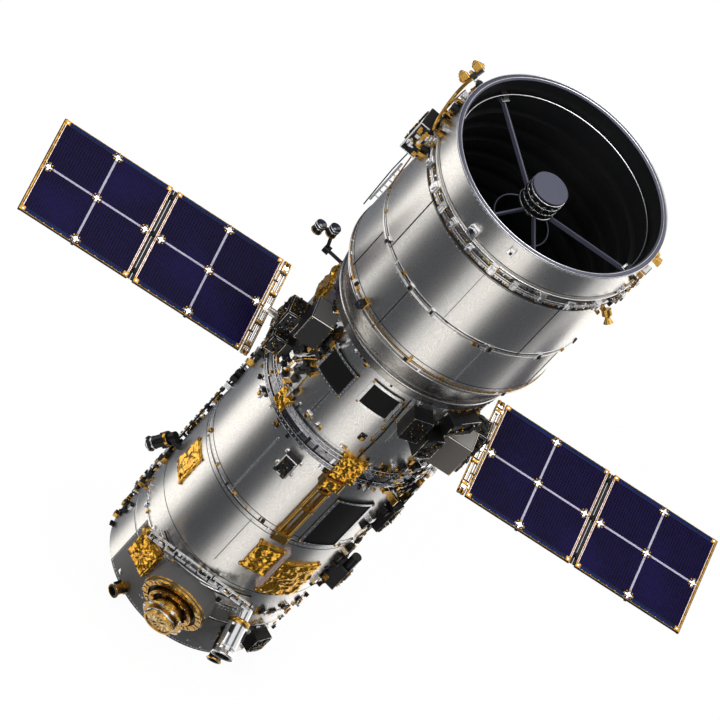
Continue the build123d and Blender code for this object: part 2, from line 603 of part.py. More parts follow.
# Twin sensor on a jointed arm beside the cone: places along and out from the arm's foot
ARM_ANGLE = 166.0
ARM_HEIGHT = Z_SKIRT - 320.0
ARM_ROD = 34.0
ARM_BLOCK = 130.0
ARM_PLACES = ((0.0, -ARM_ROD), (0.0, 380.0), (430.0, 513.0), (270.0, 743.0))
ARM_DRUM_RADIUS = 100.0
ARM_DRUM_LENGTH = 210.0
arm_points = [Vector(0, along, out) for along, out in ARM_PLACES]
arm = Pos(arm_points[1]) * bevelled(Box(ARM_BLOCK, ARM_BLOCK, ARM_BLOCK), BOX_CHAMFER)
for start, end in zip(arm_points, arm_points[1:]):
    arm = arm + rod(start, end, ARM_ROD)
for place in arm_points[2:]:
    arm = arm + Pos(place) * Rot(90, 0, 0) * Cylinder(ARM_DRUM_RADIUS, ARM_DRUM_LENGTH)
save("twin_sensor", seated(wall_frame(ARM_ANGLE, AFT_RADIUS, ARM_HEIGHT) * arm, AFT_RADIUS))

# Pair of thruster blocks on a post behind the rim
POST_RADIUS = 38.0
POST_LENGTH = 330.0
CROSS_ARM = 290.0
CROSS_ARM_SIDE = 90.0
CROSS_ARM_TURN = -55.0
THRUSTER_BLOCK = 150.0
THRUSTER_ANGLE = 146.5
THRUSTER_HEIGHT = Z_BAND + 250.0
pair = Cylinder(POST_RADIUS, 2 * POST_LENGTH)
pair = pair + Pos(0, 0, POST_LENGTH) * Box(CROSS_ARM + CROSS_ARM_SIDE, CROSS_ARM_SIDE, CROSS_ARM_SIDE)
for side in (-1, 1):
    block = bevelled(Box(THRUSTER_BLOCK, THRUSTER_BLOCK, THRUSTER_BLOCK, align=FOOT), BOX_CHAMFER)
    pair = pair + Pos(side * CROSS_ARM / 2, 0, POST_LENGTH) * block
pair = wall_frame(THRUSTER_ANGLE, FORE_RADIUS, THRUSTER_HEIGHT) * (Rot(0, 0, CROSS_ARM_TURN) * pair)
save("rim_thruster", seated(pair, FORE_RADIUS))

# Box with a round sensor head on its aperture end
SENSOR_ANGLE = -18.0
SENSOR_HEIGHT = Z_LOWER + 1150.0
SENSOR_BOX = (280.0, 620.0, 320.0)
SENSOR_HEAD_RADIUS = 95.0
SENSOR_HEAD_LENGTH = 330.0
sensor_axis = Pos(0, SENSOR_BOX[1] / 2, SENSOR_BOX[2] - SENSOR_HEAD_RADIUS) * Rot(-90, 0, 0)
sensor_head = wall_frame(SENSOR_ANGLE, AFT_RADIUS, SENSOR_HEIGHT) * (
    sensor_axis * (Pos(0, 0, -BOX_CHAMFER) * Cylinder(SENSOR_HEAD_RADIUS, SENSOR_HEAD_LENGTH, align=FOOT))
)
save("side_sensor", wall_box(AFT_RADIUS, SENSOR_ANGLE, SENSOR_HEIGHT, *SENSOR_BOX) + sensor_head)

# Cable rails along the silhouette: wall radius, angle, bottom, top
RAILS = (
    (AFT_RADIUS, 166.0, Z_BAY + 600.0, Z_FLANGE - 400.0),
    (FORE_RADIUS, 166.0, Z_FORE + 350.0, Z_FORE + 1450.0),
)
rails = []
for radius, angle, bottom, top in RAILS:
    place = outward(angle) * (radius + RAIL_STANDOFF)
    rail = rod(place + Vector(0, 0, bottom), place + Vector(0, 0, top), RAIL_TUBE)
    pitch = (top - bottom - 2 * RAIL_FOOT_INSET) / (RAIL_FEET - 1)
    for index in range(RAIL_FEET):
        height = Vector(0, 0, bottom + RAIL_FOOT_INSET + index * pitch)
        foot = rod(outward(angle) * (radius - RAIL_TUBE) + height, place + height, RAIL_FOOT)
        rail = rail + seated(foot, radius)
    rails.append(rail)
save("side_rail", apart(*rails))

# Drive units and wings, the same on both sides
wing_z = Z_EQUIPMENT + WING_RISE
wing_normal = Vector(0, -cos(radians(WING_PITCH)), sin(radians(WING_PITCH)))
fold_x = PANEL_ROOT + PANEL_LENGTH + PANEL_GAP / 2
SIDES = (("right", 1), ("left", -1))
# Blocks on a drive's near side: from, to across; from, to along the tube; reach beyond the wall
DRIVE_BLOCKS = (
    (180.0, 640.0, 290.0, 850.0, 375.0),
    (340.0, 780.0, -110.0, 300.0, 320.0),
)
DRIVE_INSET = 500.0             # of the drive's blocks inside the wall, before they are cut to it


def panel(start):
    """A panel's board from its inner edge outwards, with bus strips in front and ribs behind."""
    middle = start + PANEL_LENGTH / 2
    front = PANEL_THICKNESS / 2
    board = Pos(middle, 0, 0) * Box(PANEL_LENGTH, PANEL_WIDTH, PANEL_THICKNESS)
    board = board + Pos(middle, 0, front) * Box(PANEL_LENGTH, STRIP_WIDTH, 2 * STRIP_RISE)
    board = board + Pos(middle, 0, front) * Box(STRIP_WIDTH, PANEL_WIDTH, 2 * STRIP_RISE)
    for share in (-RIB_SHARE, RIB_SHARE):
        board = board + Pos(middle, share * PANEL_WIDTH, -front) * Box(PANEL_LENGTH, RIB_WIDTH, 2 * RIB_DEPTH)
    return board + Pos(middle, 0, -front) * Box(RIB_WIDTH, PANEL_WIDTH, 2 * RIB_DEPTH)


def fold_lug(reach, width, place):
    """A hinge lug: an eye round the fold pin and an arm back to the panel's end."""
    eye = Pos(fold_x, place, FOLD_RISE) * Rot(90, 0, 0) * Cylinder(FOLD_EYE_RADIUS, width)
    arm_outline = make_face(Polyline(
        (fold_x, FOLD_RISE - FOLD_EYE_RADIUS), (fold_x, FOLD_RISE + FOLD_EYE_RADIUS),
        (fold_x + reach, PANEL_THICKNESS / 2), (fold_x + reach, -PANEL_THICKNESS / 2), close=True,
    ))
    arm = extrude(Pos(0, place, 0) * (Plane.XZ * arm_outline), width / 2, both=True)
    return eye + arm


for side, sign in SIDES:
    wing = Plane(origin=(0, 0, wing_z), x_dir=(sign, 0, 0), z_dir=wing_normal).location
    upright = Plane(origin=(0, 0, wing_z), x_dir=(sign, 0, 0), z_dir=(0, 0, 1)).location

    block_start = AFT_RADIUS - DRIVE_INSET
    drive = Pos(block_start, 0, 0) * Box(
        DRIVE_FACE - BEARING_LENGTH - block_start, DRIVE_WIDTH, DRIVE_HEIGHT,
        align=(Align.MIN, Align.CENTER, Align.CENTER),
    )
    drive = chamfer(drive.edges().group_by(Axis.X)[-1], BOX_CHAMFER)
    for near, far, bottom, top, reach in DRIVE_BLOCKS:
        block = Pos(block_start, -sign * (near + far) / 2, (bottom + top) / 2) * Box(
            DRIVE_INSET + reach, far - near, top - bottom, align=(Align.MIN, Align.CENTER, Align.CENTER)
        )
        drive = drive + chamfer(block.edges().group_by(Axis.X)[-1], BOX_CHAMFER)
    bearing_face = Pos(DRIVE_FACE, 0, 0) * Rot(0, 90, 0)
    drive = drive + bearing_face * Cylinder(BEARING_RADIUS, BEARING_LENGTH, align=HEAD)
    bore = Cylinder(SHAFT_RADIUS + SHAFT_CLEARANCE, SHAFT_DEPTH + SHAFT_END_GAP, align=HEAD)
    drive = drive - bearing_face * bore
    save(f"drive_unit_{side}", seated(upright * drive, AFT_RADIUS))

    shaft_start = DRIVE_FACE - SHAFT_DEPTH
    yoke = Pos(shaft_start, 0, 0) * Rot(0, 90, 0) * Cylinder(SHAFT_RADIUS, YOKE_X - shaft_start, align=FOOT)
    for place in (YOKE_X, YOKE_X + YOKE_SPACING):
        yoke = yoke + Pos(place, 0, 0) * Rot(90, 0, 0) * Cylinder(YOKE_TUBE, PANEL_WIDTH)
    for place in FOLD_HINGES:
        yoke = yoke + Pos(YOKE_X, place, 0) * Box(
            PANEL_ROOT - YOKE_X, YOKE_CLAMP * FOLD_LUG, PANEL_THICKNESS,
            align=(Align.MIN, Align.CENTER, Align.CENTER),
        )
        yoke = yoke + Pos(YOKE_X + YOKE_SPACING / 2, place, 0) * Box(
            YOKE_SPACING + YOKE_TUBE, YOKE_CLAMP_LENGTH, 2 * YOKE_CLAMP_HALF
        )
    save(f"yoke_{side}", wing * yoke)

    pin_hole = FOLD_PIN_RADIUS + PIN_CLEARANCE
    inner = panel(PANEL_ROOT)
    outer_start = PANEL_ROOT + PANEL_LENGTH + PANEL_GAP
    end_bar = Box(END_BAR, PANEL_WIDTH, END_BAR + STRIP_RISE)
    outer = panel(outer_start) + Pos(outer_start + PANEL_LENGTH, 0, 0) * end_bar
    for place in FOLD_HINGES:
        inner = inner + fold_lug(-PANEL_GAP / 2, FOLD_LUG, place)
        inner = inner - Pos(fold_x, place, FOLD_RISE) * Rot(90, 0, 0) * Cylinder(pin_hole, 2 * FOLD_LUG)
        cheek = FOLD_LUG / 2
        offset = FOLD_LUG / 2 + KNUCKLE_GAP + cheek / 2
        for shift in (-offset, offset):
            outer = outer + fold_lug(PANEL_GAP / 2, cheek, place + shift)
        outer = outer + Pos(fold_x, place, FOLD_RISE) * Rot(90, 0, 0) * Cylinder(FOLD_PIN_RADIUS, 2 * offset)
    save(f"inner_panel_{side}", wing * inner)
    save(f"outer_panel_{side}", wing * outer)

# Equipment cubes beside the drives: node, side, reach of the far face beyond the wall, gap to
# the drive's blocks across, foot above the ring flange, then the sizes across, towards the near
# side and along the tube
EQUIPMENT_CUBES = (
    ("cube_right", 1, 113.0, 20.0, 470.0, 590.0, 500.0, 820.0),
    ("cube_left", -1, 143.0, -40.0, 1260.0, 465.0, 560.0, 690.0),
)
drive_near = max(far for near, far, bottom, top, reach in DRIVE_BLOCKS)
for node, sign, beyond, gap, foot, width, depth, length in EQUIPMENT_CUBES:
    across = sign * (AFT_RADIUS + beyond - width / 2)
    middle = Pos(across, -drive_near - gap - depth / 2, Z_EQUIPMENT + foot)
    cube = chamfer(Box(width, depth, length, align=FOOT).edges(), BOX_CHAMFER)
    save(node, seated(middle * cube, AFT_RADIUS))
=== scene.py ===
"""Looks of a space telescope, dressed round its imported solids.

The telescope stands upright on its launch ring. Angles round the tube are measured from +X towards
+Y, so the equipped side that the camera sees is near -104 degrees. Every length is in metres.
"""

import logging
import math
from dataclasses import dataclass
from enum import Enum
from typing import Any, Sequence

import bpy
import numpy as np
from mathutils import Matrix, Vector
from numpy.typing import ArrayLike, NDArray


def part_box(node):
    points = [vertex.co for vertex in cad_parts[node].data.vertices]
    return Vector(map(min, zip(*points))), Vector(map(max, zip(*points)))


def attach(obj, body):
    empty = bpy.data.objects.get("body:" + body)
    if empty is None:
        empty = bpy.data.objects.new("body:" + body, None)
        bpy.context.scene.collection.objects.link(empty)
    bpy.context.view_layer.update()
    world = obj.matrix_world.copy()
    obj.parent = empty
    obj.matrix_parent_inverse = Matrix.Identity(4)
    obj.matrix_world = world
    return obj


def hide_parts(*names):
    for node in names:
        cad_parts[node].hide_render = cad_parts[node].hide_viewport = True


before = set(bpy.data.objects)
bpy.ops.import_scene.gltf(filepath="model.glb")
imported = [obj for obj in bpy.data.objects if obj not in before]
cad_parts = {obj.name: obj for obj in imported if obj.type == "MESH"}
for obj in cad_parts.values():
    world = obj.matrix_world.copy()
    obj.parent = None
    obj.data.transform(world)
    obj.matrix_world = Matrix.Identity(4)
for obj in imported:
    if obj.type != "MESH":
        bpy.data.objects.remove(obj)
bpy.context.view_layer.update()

Array = NDArray[np.float64]
Colour = tuple[float, float, float, float]
Triple = tuple[float, float, float]
Span = tuple[float, float]
log = logging.getLogger("telescope")
MM = 0.001

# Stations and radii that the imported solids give
Z_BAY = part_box("launch_ring")[1].z
Z_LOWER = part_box("lower_shell")[0].z
Z_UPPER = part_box("upper_shell")[0].z
Z_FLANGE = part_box("ring_flange")[0].z
Z_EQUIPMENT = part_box("equipment_shell")[0].z
Z_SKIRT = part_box("skirt_cone")[0].z
Z_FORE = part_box("fore_shell_lower")[0].z
Z_FORE_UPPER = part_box("fore_shell_upper")[0].z
Z_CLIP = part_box("clip_ring")[0].z
Z_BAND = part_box("aperture_band")[0].z
Z_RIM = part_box("rim")[0].z
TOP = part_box("rim")[1].z
AFT_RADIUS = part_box("lower_shell")[1].x
FORE_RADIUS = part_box("aperture_band")[1].x
CLIP_RADIUS = FORE_RADIUS + 0.032
FLANGE_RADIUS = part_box("ring_flange")[1].x
# Height of the wings' shafts
SHAFT_HEIGHT = 6.823
# How far small fittings sink into the wall under them
SINK = 0.004
AFT_SEAT = AFT_RADIUS - SINK
FORE_SEAT = FORE_RADIUS - SINK


def linear(hex_colour: str) -> Colour:
    """Turn an sRGB hex colour into linear light.

    Args:
        hex_colour: six hex digits, with or without a leading mark.

    Returns:
        Red, green, blue and an alpha of one.
    """
    digits = hex_colour.lstrip("#")
    parts = np.array([int(digits[i:i + 2], 16) for i in (0, 2, 4)]) / 255.0
    light = np.where(parts <= 0.04045, parts / 12.92, ((parts + 0.055) / 1.055) ** 2.4)
    return (*light.tolist(), 1.0)


def add_node(tree: bpy.types.NodeTree, kind: str, settings: dict[Any, Any] | None = None,
             links: dict[Any, bpy.types.NodeSocket] | None = None) -> bpy.types.Node:
    """Add a shader node, set it up and link its inputs.

    Args:
        tree: the material's node tree.
        kind: the node's type without its common prefix.
        settings: values by input name or number, or by attribute name.
        links: output sockets by the input name or number that they feed.

    Returns:
        The new node.
    """
    node = tree.nodes.new("ShaderNode" + kind)
    for key, value in (settings or {}).items():
        if isinstance(key, str) and hasattr(node, key):
            setattr(node, key, value)
        else:
            node.inputs[key].default_value = value
    for key, socket in (links or {}).items():
        tree.links.new(socket, node.inputs[key])
    return node


class Pattern(Enum):
    """How a finish breaks up its surface."""

    ROLLED = "streaks along the tube"
    FOIL = "flat facets that lean at random"
    GRAIN = "fine grain"
    CELLS = "a grid of cells on the UV map"


@dataclass(frozen=True)
class Finish:
    """A material: what it is made of, its two colours and the pattern that mixes them.

    The scale is the size of the pattern in millimetres, and the depth is how far it dents the
    surface in millimetres.
    """

    name: str
    colour: str
    second: str
    metallic: float
    roughness: float
    second_roughness: float
    pattern: Pattern = Pattern.GRAIN
    scale_mm: float = 10.0
    depth_mm: float = 0.0
    specular: float = 0.5

    def material(self) -> bpy.types.Material:
        """Return the material, made once."""
        found = bpy.data.materials.get(self.name)
        return found if found else self._build()

    def _pattern(self, tree: bpy.types.NodeTree) -> tuple[bpy.types.NodeSocket, bpy.types.NodeSocket]:
        """Add the pattern's nodes.

        Args:
            tree: the material's node tree.

        Returns:
            The sockets that give the share of the second colour, from zero to one, and the height.
        """
        where = add_node(tree, "TexCoord")
        scale = 1.0 / (self.scale_mm * MM)
        if self.pattern is Pattern.CELLS:
            spot = add_node(tree, "VectorMath", {"operation": "SCALE", "Scale": scale},
                            {0: where.outputs["UV"]})
            inside = add_node(tree, "VectorMath", {"operation": "FRACTION"}, {0: spot.outputs[0]})
            edge = add_node(tree, "SeparateXYZ", {}, {0: inside.outputs[0]})
            row = add_node(tree, "Math", {"operation": "LESS_THAN", 1: 0.16}, {0: edge.outputs["X"]})
            column = add_node(tree, "Math", {"operation": "LESS_THAN", 1: 0.1}, {0: edge.outputs["Y"]})
            line = add_node(tree, "Math", {"operation": "MAXIMUM"},
                            {0: row.outputs[0], 1: column.outputs[0]})
            cell = add_node(tree, "VectorMath", {"operation": "FLOOR"}, {0: spot.outputs[0]})
            tint = add_node(tree, "TexWhiteNoise", {"noise_dimensions": "2D"}, {"Vector": cell.outputs[0]})
            # Lighter clouds about a metre across raise the second colour's share: partly tone that differs
            # at random, partly a painted sheen
            tone_and_sheen_cloud = add_node(tree, "TexNoise", {"Scale": 0.9, "Detail": 0.0},
                             {"Vector": where.outputs["Object"]})
            glow = add_node(tree, "MapRange", {"From Min": 0.5, "From Max": 0.72, "To Max": 0.3},
                            {"Value": tone_and_sheen_cloud.outputs["Fac"]})
            some = add_node(tree, "Math", {"operation": "MULTIPLY_ADD", 1: 0.2},
                            {0: tint.outputs["Value"], 2: glow.outputs[0]})
            share = add_node(tree, "Math", {"operation": "MAXIMUM"},
                             {0: line.outputs[0], 1: some.outputs[0]}).outputs[0]
            return share, share
        along = scale / 2.0 if self.pattern is Pattern.ROLLED else scale
        spot = add_node(tree, "Mapping", {"Scale": (scale, scale, along)},
                        {"Vector": where.outputs["Object"]})
        if self.pattern is Pattern.FOIL:
            facet = add_node(tree, "TexVoronoi", {"Scale": 1.0}, {"Vector": spot.outputs[0]})
            arm = add_node(tree, "VectorMath", {"operation": "SUBTRACT"},
                           {0: spot.outputs[0], 1: facet.outputs["Position"]})
            lean = add_node(tree, "VectorMath", {"operation": "SUBTRACT", 1: (0.5, 0.5, 0.5)},
                            {0: facet.outputs["Color"]})
            height = add_node(tree, "VectorMath", {"operation": "DOT_PRODUCT"},
                              {0: arm.outputs[0], 1: lean.outputs[0]})
            tint = add_node(tree, "SeparateXYZ", {}, {0: facet.outputs["Color"]})
            return tint.outputs["X"], height.outputs["Value"]
        noise = add_node(tree, "TexNoise", {"Scale": 1.0, "Detail": 4.0, "Roughness": 0.65},
                         {"Vector": spot.outputs[0]})
        share = add_node(tree, "MapRange", {"From Min": 0.3, "From Max": 0.7},
                         {"Value": noise.outputs["Fac"]}).outputs[0]
        return share, share

    def _build(self) -> bpy.types.Material:
        """Make the material's nodes."""
        made = bpy.data.materials.new(self.name)
        made.use_nodes = True
        tree = made.node_tree
        shader = tree.nodes["Principled BSDF"]
        shader.inputs["Metallic"].default_value = self.metallic
        shader.inputs["Specular IOR Level"].default_value = self.specular
        share, height = self._pattern(tree)
        blend = add_node(tree, "Mix", {"data_type": "RGBA", 6: linear(self.colour), 7: linear(self.second)},
                         {0: share})
        rough = add_node(tree, "MapRange", {"To Min": self.roughness, "To Max": self.second_roughness},
                         {"Value": share})
        tree.links.new(blend.outputs[2], shader.inputs["Base Color"])
        tree.links.new(rough.outputs[0], shader.inputs["Roughness"])
        if self.depth_mm:
            bump = add_node(tree, "Bump", {"Strength": 1.0, "Distance": self.depth_mm * MM},
                            {"Height": height})
            tree.links.new(bump.outputs["Normal"], shader.inputs["Normal"])
        return made


# Rolled aluminium sheet: warm silver, with a short satin grain along the rolling direction
ALUMINIUM = Finish("rolled_aluminium", "#e9e6e1", "#bab8b6", 1.0, 0.23, 0.38, Pattern.ROLLED, 12.0, 0.03)
# Machined aluminium: brighter edges, rings and clips
MACHINED = Finish("machined_aluminium", "#e9e9ea", "#c2c2c5", 1.0, 0.18, 0.3, scale_mm=30.0)
# Satin lavender-grey paint on the rim, vanes and mirror cover
LAVENDER = Finish("lavender_grey_paint", "#4a4b5b", "#424350", 0.3, 0.36, 0.46, scale_mm=6.0, specular=0.3)
# Light-trap paint inside the tube: almost no light comes back
LIGHT_TRAP = Finish("light_trap_paint", "#08090b", "#050507", 0.0, 0.42, 0.55, scale_mm=25.0, specular=0.3)
# Vapour-deposited mirror coating
MIRROR = Finish("mirror_coating", "#e8e8ec", "#e4e4e8", 1.0, 0.03, 0.05)
# Gold-coated foil blanket, creased by hand
GOLD_FOIL = Finish("gold_foil_blanket", "#f0bb4c", "#d59a33", 1.0, 0.14, 0.26, Pattern.FOIL, 60.0, 18.0)
# Satin metal film on the cone under the fore tube
SATIN_FILM = Finish("satin_metal_film", "#b4b1ac", "#8b8680", 1.0, 0.2, 0.32, scale_mm=220.0, depth_mm=0.8)
# Gold-plated machined metal
GOLD_PLATE = Finish("gold_plate", "#d8ac55", "#87622b", 1.0, 0.16, 0.3, scale_mm=30.0, depth_mm=0.1)
# Satin black paint on equipment boxes
BLACK_PAINT = Finish("satin_black_paint", "#101012", "#0a0a0b", 0.0, 0.3, 0.44, scale_mm=8.0, depth_mm=0.05,
                     specular=0.2)
# Matte charcoal radiator coating
RADIATOR = Finish("radiator_coating", "#121212", "#0d0d0c", 0.0, 0.5, 0.6, scale_mm=5.0, specular=0.05)
# Matte grey paint on the bay's panel and the docking drum
GREY_PAINT = Finish("matte_grey_paint", "#4a4949", "#403f3f", 0.0, 0.42, 0.55, scale_mm=6.0, specular=0.35)
# Pale grey coating on the cubes' upper sides
PALE_GREY = Finish("pale_grey_coating", "#807d7a", "#73706d", 0.2, 0.4, 0.5, scale_mm=6.0)
# Pale gold and silver foil on the docking cap's lid
PALE_FOIL = Finish("pale_gold_foil", "#e6d3a4", "#c1913f", 1.0, 0.2, 0.34, scale_mm=90.0)
# Warm grey coating on the right equipment cube
TAUPE = Finish("taupe_coating", "#4c4844", "#423f3b", 0.15, 0.42, 0.5, scale_mm=5.0, specular=0.3)
# Polished stainless steel on tubes and struts
STEEL = Finish("polished_steel", "#b9b9bd", "#8d8d92", 1.0, 0.13, 0.26, scale_mm=40.0)
# Bare steel on the ring flange
DARK_STEEL = Finish("bare_steel", "#949397", "#59585c", 1.0, 0.18, 0.32, scale_mm=60.0)
# Satin grey titanium on the wings' yokes
SATIN = Finish("satin_titanium", "#d6d2cc", "#c6c1ba", 1.0, 0.22, 0.26, scale_mm=200.0)
# Copper-brown wire wrap on the harness
WIRE = Finish("wire_wrap", "#b07a3c", "#5a3a1c", 0.8, 0.3, 0.45, scale_mm=22.0, depth_mm=2.0)
# Cover glass over violet-blue solar cells, with lighter violet clouds that are partly tone that differs at
# random and partly a painted sheen
CELL = Finish("solar_cell_glass", "#05030f", "#191242", 0.0, 0.25, 0.35, Pattern.CELLS, 54.0, specular=0.02)
# Blue glass on the border strips of the wings, with the same clouds of random tone and painted sheen
BORDER = Finish("border_cell_glass", "#081034", "#12285e", 0.0, 0.25, 0.35, Pattern.CELLS, 60.0,
                specular=0.03)
# Aged brass on the wings' edges and yoke rods
BRASS = Finish("aged_brass", "#9a7431", "#5a3f1b", 1.0, 0.2, 0.34, scale_mm=60.0)
# Braided grey bus strip between the cells
BRAID = Finish("braided_bus_strip", "#9a97a8", "#767387", 0.4, 0.4, 0.5, scale_mm=18.0, depth_mm=1.0)
# Pinkish-white silvered tape on the hinge edges
TAPE = Finish("silvered_tape", "#d6c4be", "#a98f84", 0.7, 0.25, 0.35, scale_mm=60.0)
# Dark composite board behind the cells
BOARD = Finish("composite_board", "#121216", "#0c0c10", 0.0, 0.4, 0.5, scale_mm=12.0, specular=0.15)
# Deep blue-black lens glass
LENS = Finish("lens_glass", "#0c1420", "#101c2c", 0.0, 0.06, 0.1, specular=0.8)

NODE_FINISHES: dict[Finish, tuple[str, ...]] = {
    ALUMINIUM: ("aft_bay", "lower_shell", "upper_shell", "equipment_shell", "fore_shell_lower",
                "fore_shell_upper", "aperture_band", "clip_ring", "launch_ring"),
    SATIN_FILM: ("skirt_cone",),
    LAVENDER: ("rim", "secondary_cover", "spider"),
    LIGHT_TRAP: ("baffle_liner", "central_baffle", "mirror_cell", "inner_ring"),
    MIRROR: ("primary_mirror",),
    GOLD_FOIL: ("gold_patch_left", "gold_patch_right", "gold_patch_far", "gold_patch_skirt",
                "gold_bay_box"),
    GOLD_PLATE: ("gold_mast", "docking_outer_ring", "docking_inner_ring", "docking_cap", "fore_thruster",
                 "tail_thruster"),
    BLACK_PAINT: ("small_black_box", "fore_box", "rail_box", "tail_box", "side_sensor", "side_camera",
                  "twin_sensor", "rim_thruster", "second_tracker", "drive_unit_left", "drive_unit_right",
                  "drive_electronics", "secondary_housing"),
    RADIATOR: ("aft_radiator", "radiator_left", "radiator_right"),
    GREY_PAINT: ("bay_panel", "cube_left", "docking_drum"),
    TAUPE: ("cube_right",),
    STEEL: ("star_tracker", "side_rail", "aperture_sensors", "bay_truss"),
    DARK_STEEL: ("ring_flange",),
    SATIN: ("yoke_left", "yoke_right"),
    BOARD: ("inner_panel_left", "inner_panel_right", "outer_panel_left", "outer_panel_right"),
}


def dress_nodes() -> None:
    """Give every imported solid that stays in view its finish."""
    for finish, nodes in NODE_FINISHES.items():
        for node in nodes:
            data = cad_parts[node].data
            data.materials.clear()
            data.materials.append(finish.material())




# Finishes of mixed fittings, by finish number
SILVER_FIRST = (MACHINED, GOLD_PLATE, BLACK_PAINT)
GOLD_FIRST = (GOLD_PLATE, BLACK_PAINT, MACHINED)


@dataclass
class Shell:
    """A mesh under construction.

    Faces come as one array of corner numbers per number of corners, each with an array of finish
    numbers. The UV map, where there is one, is in metres.
    """

    points: Array
    faces: list[NDArray[np.int64]]
    tones: list[NDArray[np.int64]]
    uv: Array | None = None

    def toned(self, tone: int) -> "Shell":
        """Give every face one finish number."""
        self.tones = [np.full(len(f), tone) for f in self.faces]
        return self


def joined(*shells: Shell) -> Shell:
    """Join shells into one.

    Args:
        shells: the shells, in order.

    Returns:
        One shell that holds them all.
    """
    starts = np.cumsum([0] + [len(s.points) for s in shells])
    faces = [f + start for s, start in zip(shells, starts) for f in s.faces]
    tones = [t for s in shells for t in s.tones]
    return Shell(np.concatenate([s.points for s in shells]), faces, tones)


@dataclass
class Frames:
    """Places on the object: origins, and three axes each as the rows of a matrix."""

    origin: Array
    axes: Array

    def spread(self, local: Array) -> Array:
        """Put local points at every place."""
        shape = (len(self.origin), *local.shape[-2:])
        return self.origin[:, None] + np.einsum("nmk,nkj->nmj", np.broadcast_to(local, shape), self.axes)

    def moved(self, x: ArrayLike = 0.0, y: ArrayLike = 0.0, z: ArrayLike = 0.0) -> "Frames":
        """Step along the places' own axes."""
        step = np.stack(np.broadcast_arrays(x, y, z, np.zeros(len(self.origin)))[:3], axis=-1)
        return Frames(self.origin + np.einsum("nk,nkj->nj", step, self.axes), self.axes)

    def tipped(self, axis: int, degrees: ArrayLike) -> "Frames":
        """Turn the places about one of their own axes.

        Args:
            axis: 0, 1 or 2.
            degrees: the turn, for all places or for each.

        Returns:
            The new places.
        """
        turn = np.radians(np.broadcast_to(degrees, len(self.origin)))[:, None]
        first, second = self.axes[:, (axis + 1) % 3], self.axes[:, (axis + 2) % 3]
        axes = self.axes.copy()
        axes[:, (axis + 1) % 3] = np.cos(turn) * first + np.sin(turn) * second
        axes[:, (axis + 2) % 3] = np.cos(turn) * second - np.sin(turn) * first
        return Frames(self.origin, axes)

    def each(self, *offsets: Triple) -> "Frames":
        """Repeat the places at some offsets along their own axes."""
        parts = [self.moved(*offset) for offset in offsets]
        return Frames(np.concatenate([p.origin for p in parts]), np.concatenate([p.axes for p in parts]))


def wall(angle: ArrayLike, radius: ArrayLike, height: ArrayLike) -> Frames:
    """Places on the tube: X runs round it, Y along it and Z out of it.

    Args:
        angle: degrees round the tube.
        radius: distance from the axis.
        height: distance above the floor.

    Returns:
        One place for each entry.
    """
    turn, radius, height = np.broadcast_arrays(np.radians(np.atleast_1d(angle)), radius, height)
    zero, one = np.zeros(turn.shape), np.ones(turn.shape)
    out = np.stack([np.cos(turn), np.sin(turn), zero], axis=-1)
    across = np.stack([-np.sin(turn), np.cos(turn), zero], axis=-1)
    up = np.stack([zero, zero, one], axis=-1)
    return Frames(out * radius[:, None] + up * height[:, None], np.stack([across, up, out], axis=1))


def facing(origin: Sequence[float], x: Sequence[float], z: Sequence[float]) -> Frames:
    """One place from its origin, its first axis and its third axis.

    Args:
        origin: the place.
        x: the first axis.
        z: the third axis, made square to the first.

    Returns:
        The place.
    """
    first = np.array(x, float) / np.linalg.norm(x)
    third = np.array(z, float) - np.dot(z, first) * first
    third /= np.linalg.norm(third)
    return Frames(np.array([origin], float), np.array([[first, np.cross(third, first), third]]))


AXIS = facing((0, 0, 0), (1, 0, 0), (0, 0, 1))


def grid(points: Array, closed: bool = False, uv: Array | None = None) -> Shell:
    """Faces over grids of points: a function of two parameters, sampled.

    Args:
        points: grids of points, by grid, row and column.
        closed: whether each row closes on itself.
        uv: UV places in metres, by grid, row and column.

    Returns:
        Four-cornered faces that point outwards when rows climb and columns turn to the left.
    """
    index = np.arange(points[..., 0].size).reshape(points.shape[:3])
    left = index if closed else index[:, :, :-1]
    right = np.roll(index, -1, axis=2) if closed else index[:, :, 1:]
    quads = np.stack([left[:, :-1], right[:, :-1], right[:, 1:], left[:, 1:]], axis=-1).reshape(-1, 4)
    flat = None if uv is None else uv.reshape(-1, 2)
    return Shell(points.reshape(-1, 3), [quads], [np.zeros(len(quads), int)], flat)


def lathes(places: Frames, profile: ArrayLike, segments: int = 12, lid: bool = True) -> Shell:
    """Turn a profile about the third axis of every place.

    A point is radius times (cos t, sin t) across and its height along the axis, with t from zero
    to a full turn.

    Args:
        places: where the axes stand.
        profile: pairs of radius and height, from the foot up.
        segments: sides round the axis.
        lid: whether the last ring is closed.

    Returns:
        The turned shells.
    """
    radius, height = np.asarray(profile, float).T
    turn = np.linspace(0.0, 2 * np.pi, segments, endpoint=False)
    local = np.stack(np.broadcast_arrays(radius[:, None] * np.cos(turn), radius[:, None] * np.sin(turn),
                                         height[:, None]), axis=-1)
    points = places.spread(local.reshape(-1, 3)).reshape(len(places.origin), len(radius), segments, 3)
    shell = grid(points, closed=True)
    if lid:
        index = np.arange(points[..., 0].size).reshape(points.shape[:3])
        shell.faces.append(index[:, -1])
        shell.tones.append(np.zeros(len(points), int))
    return shell


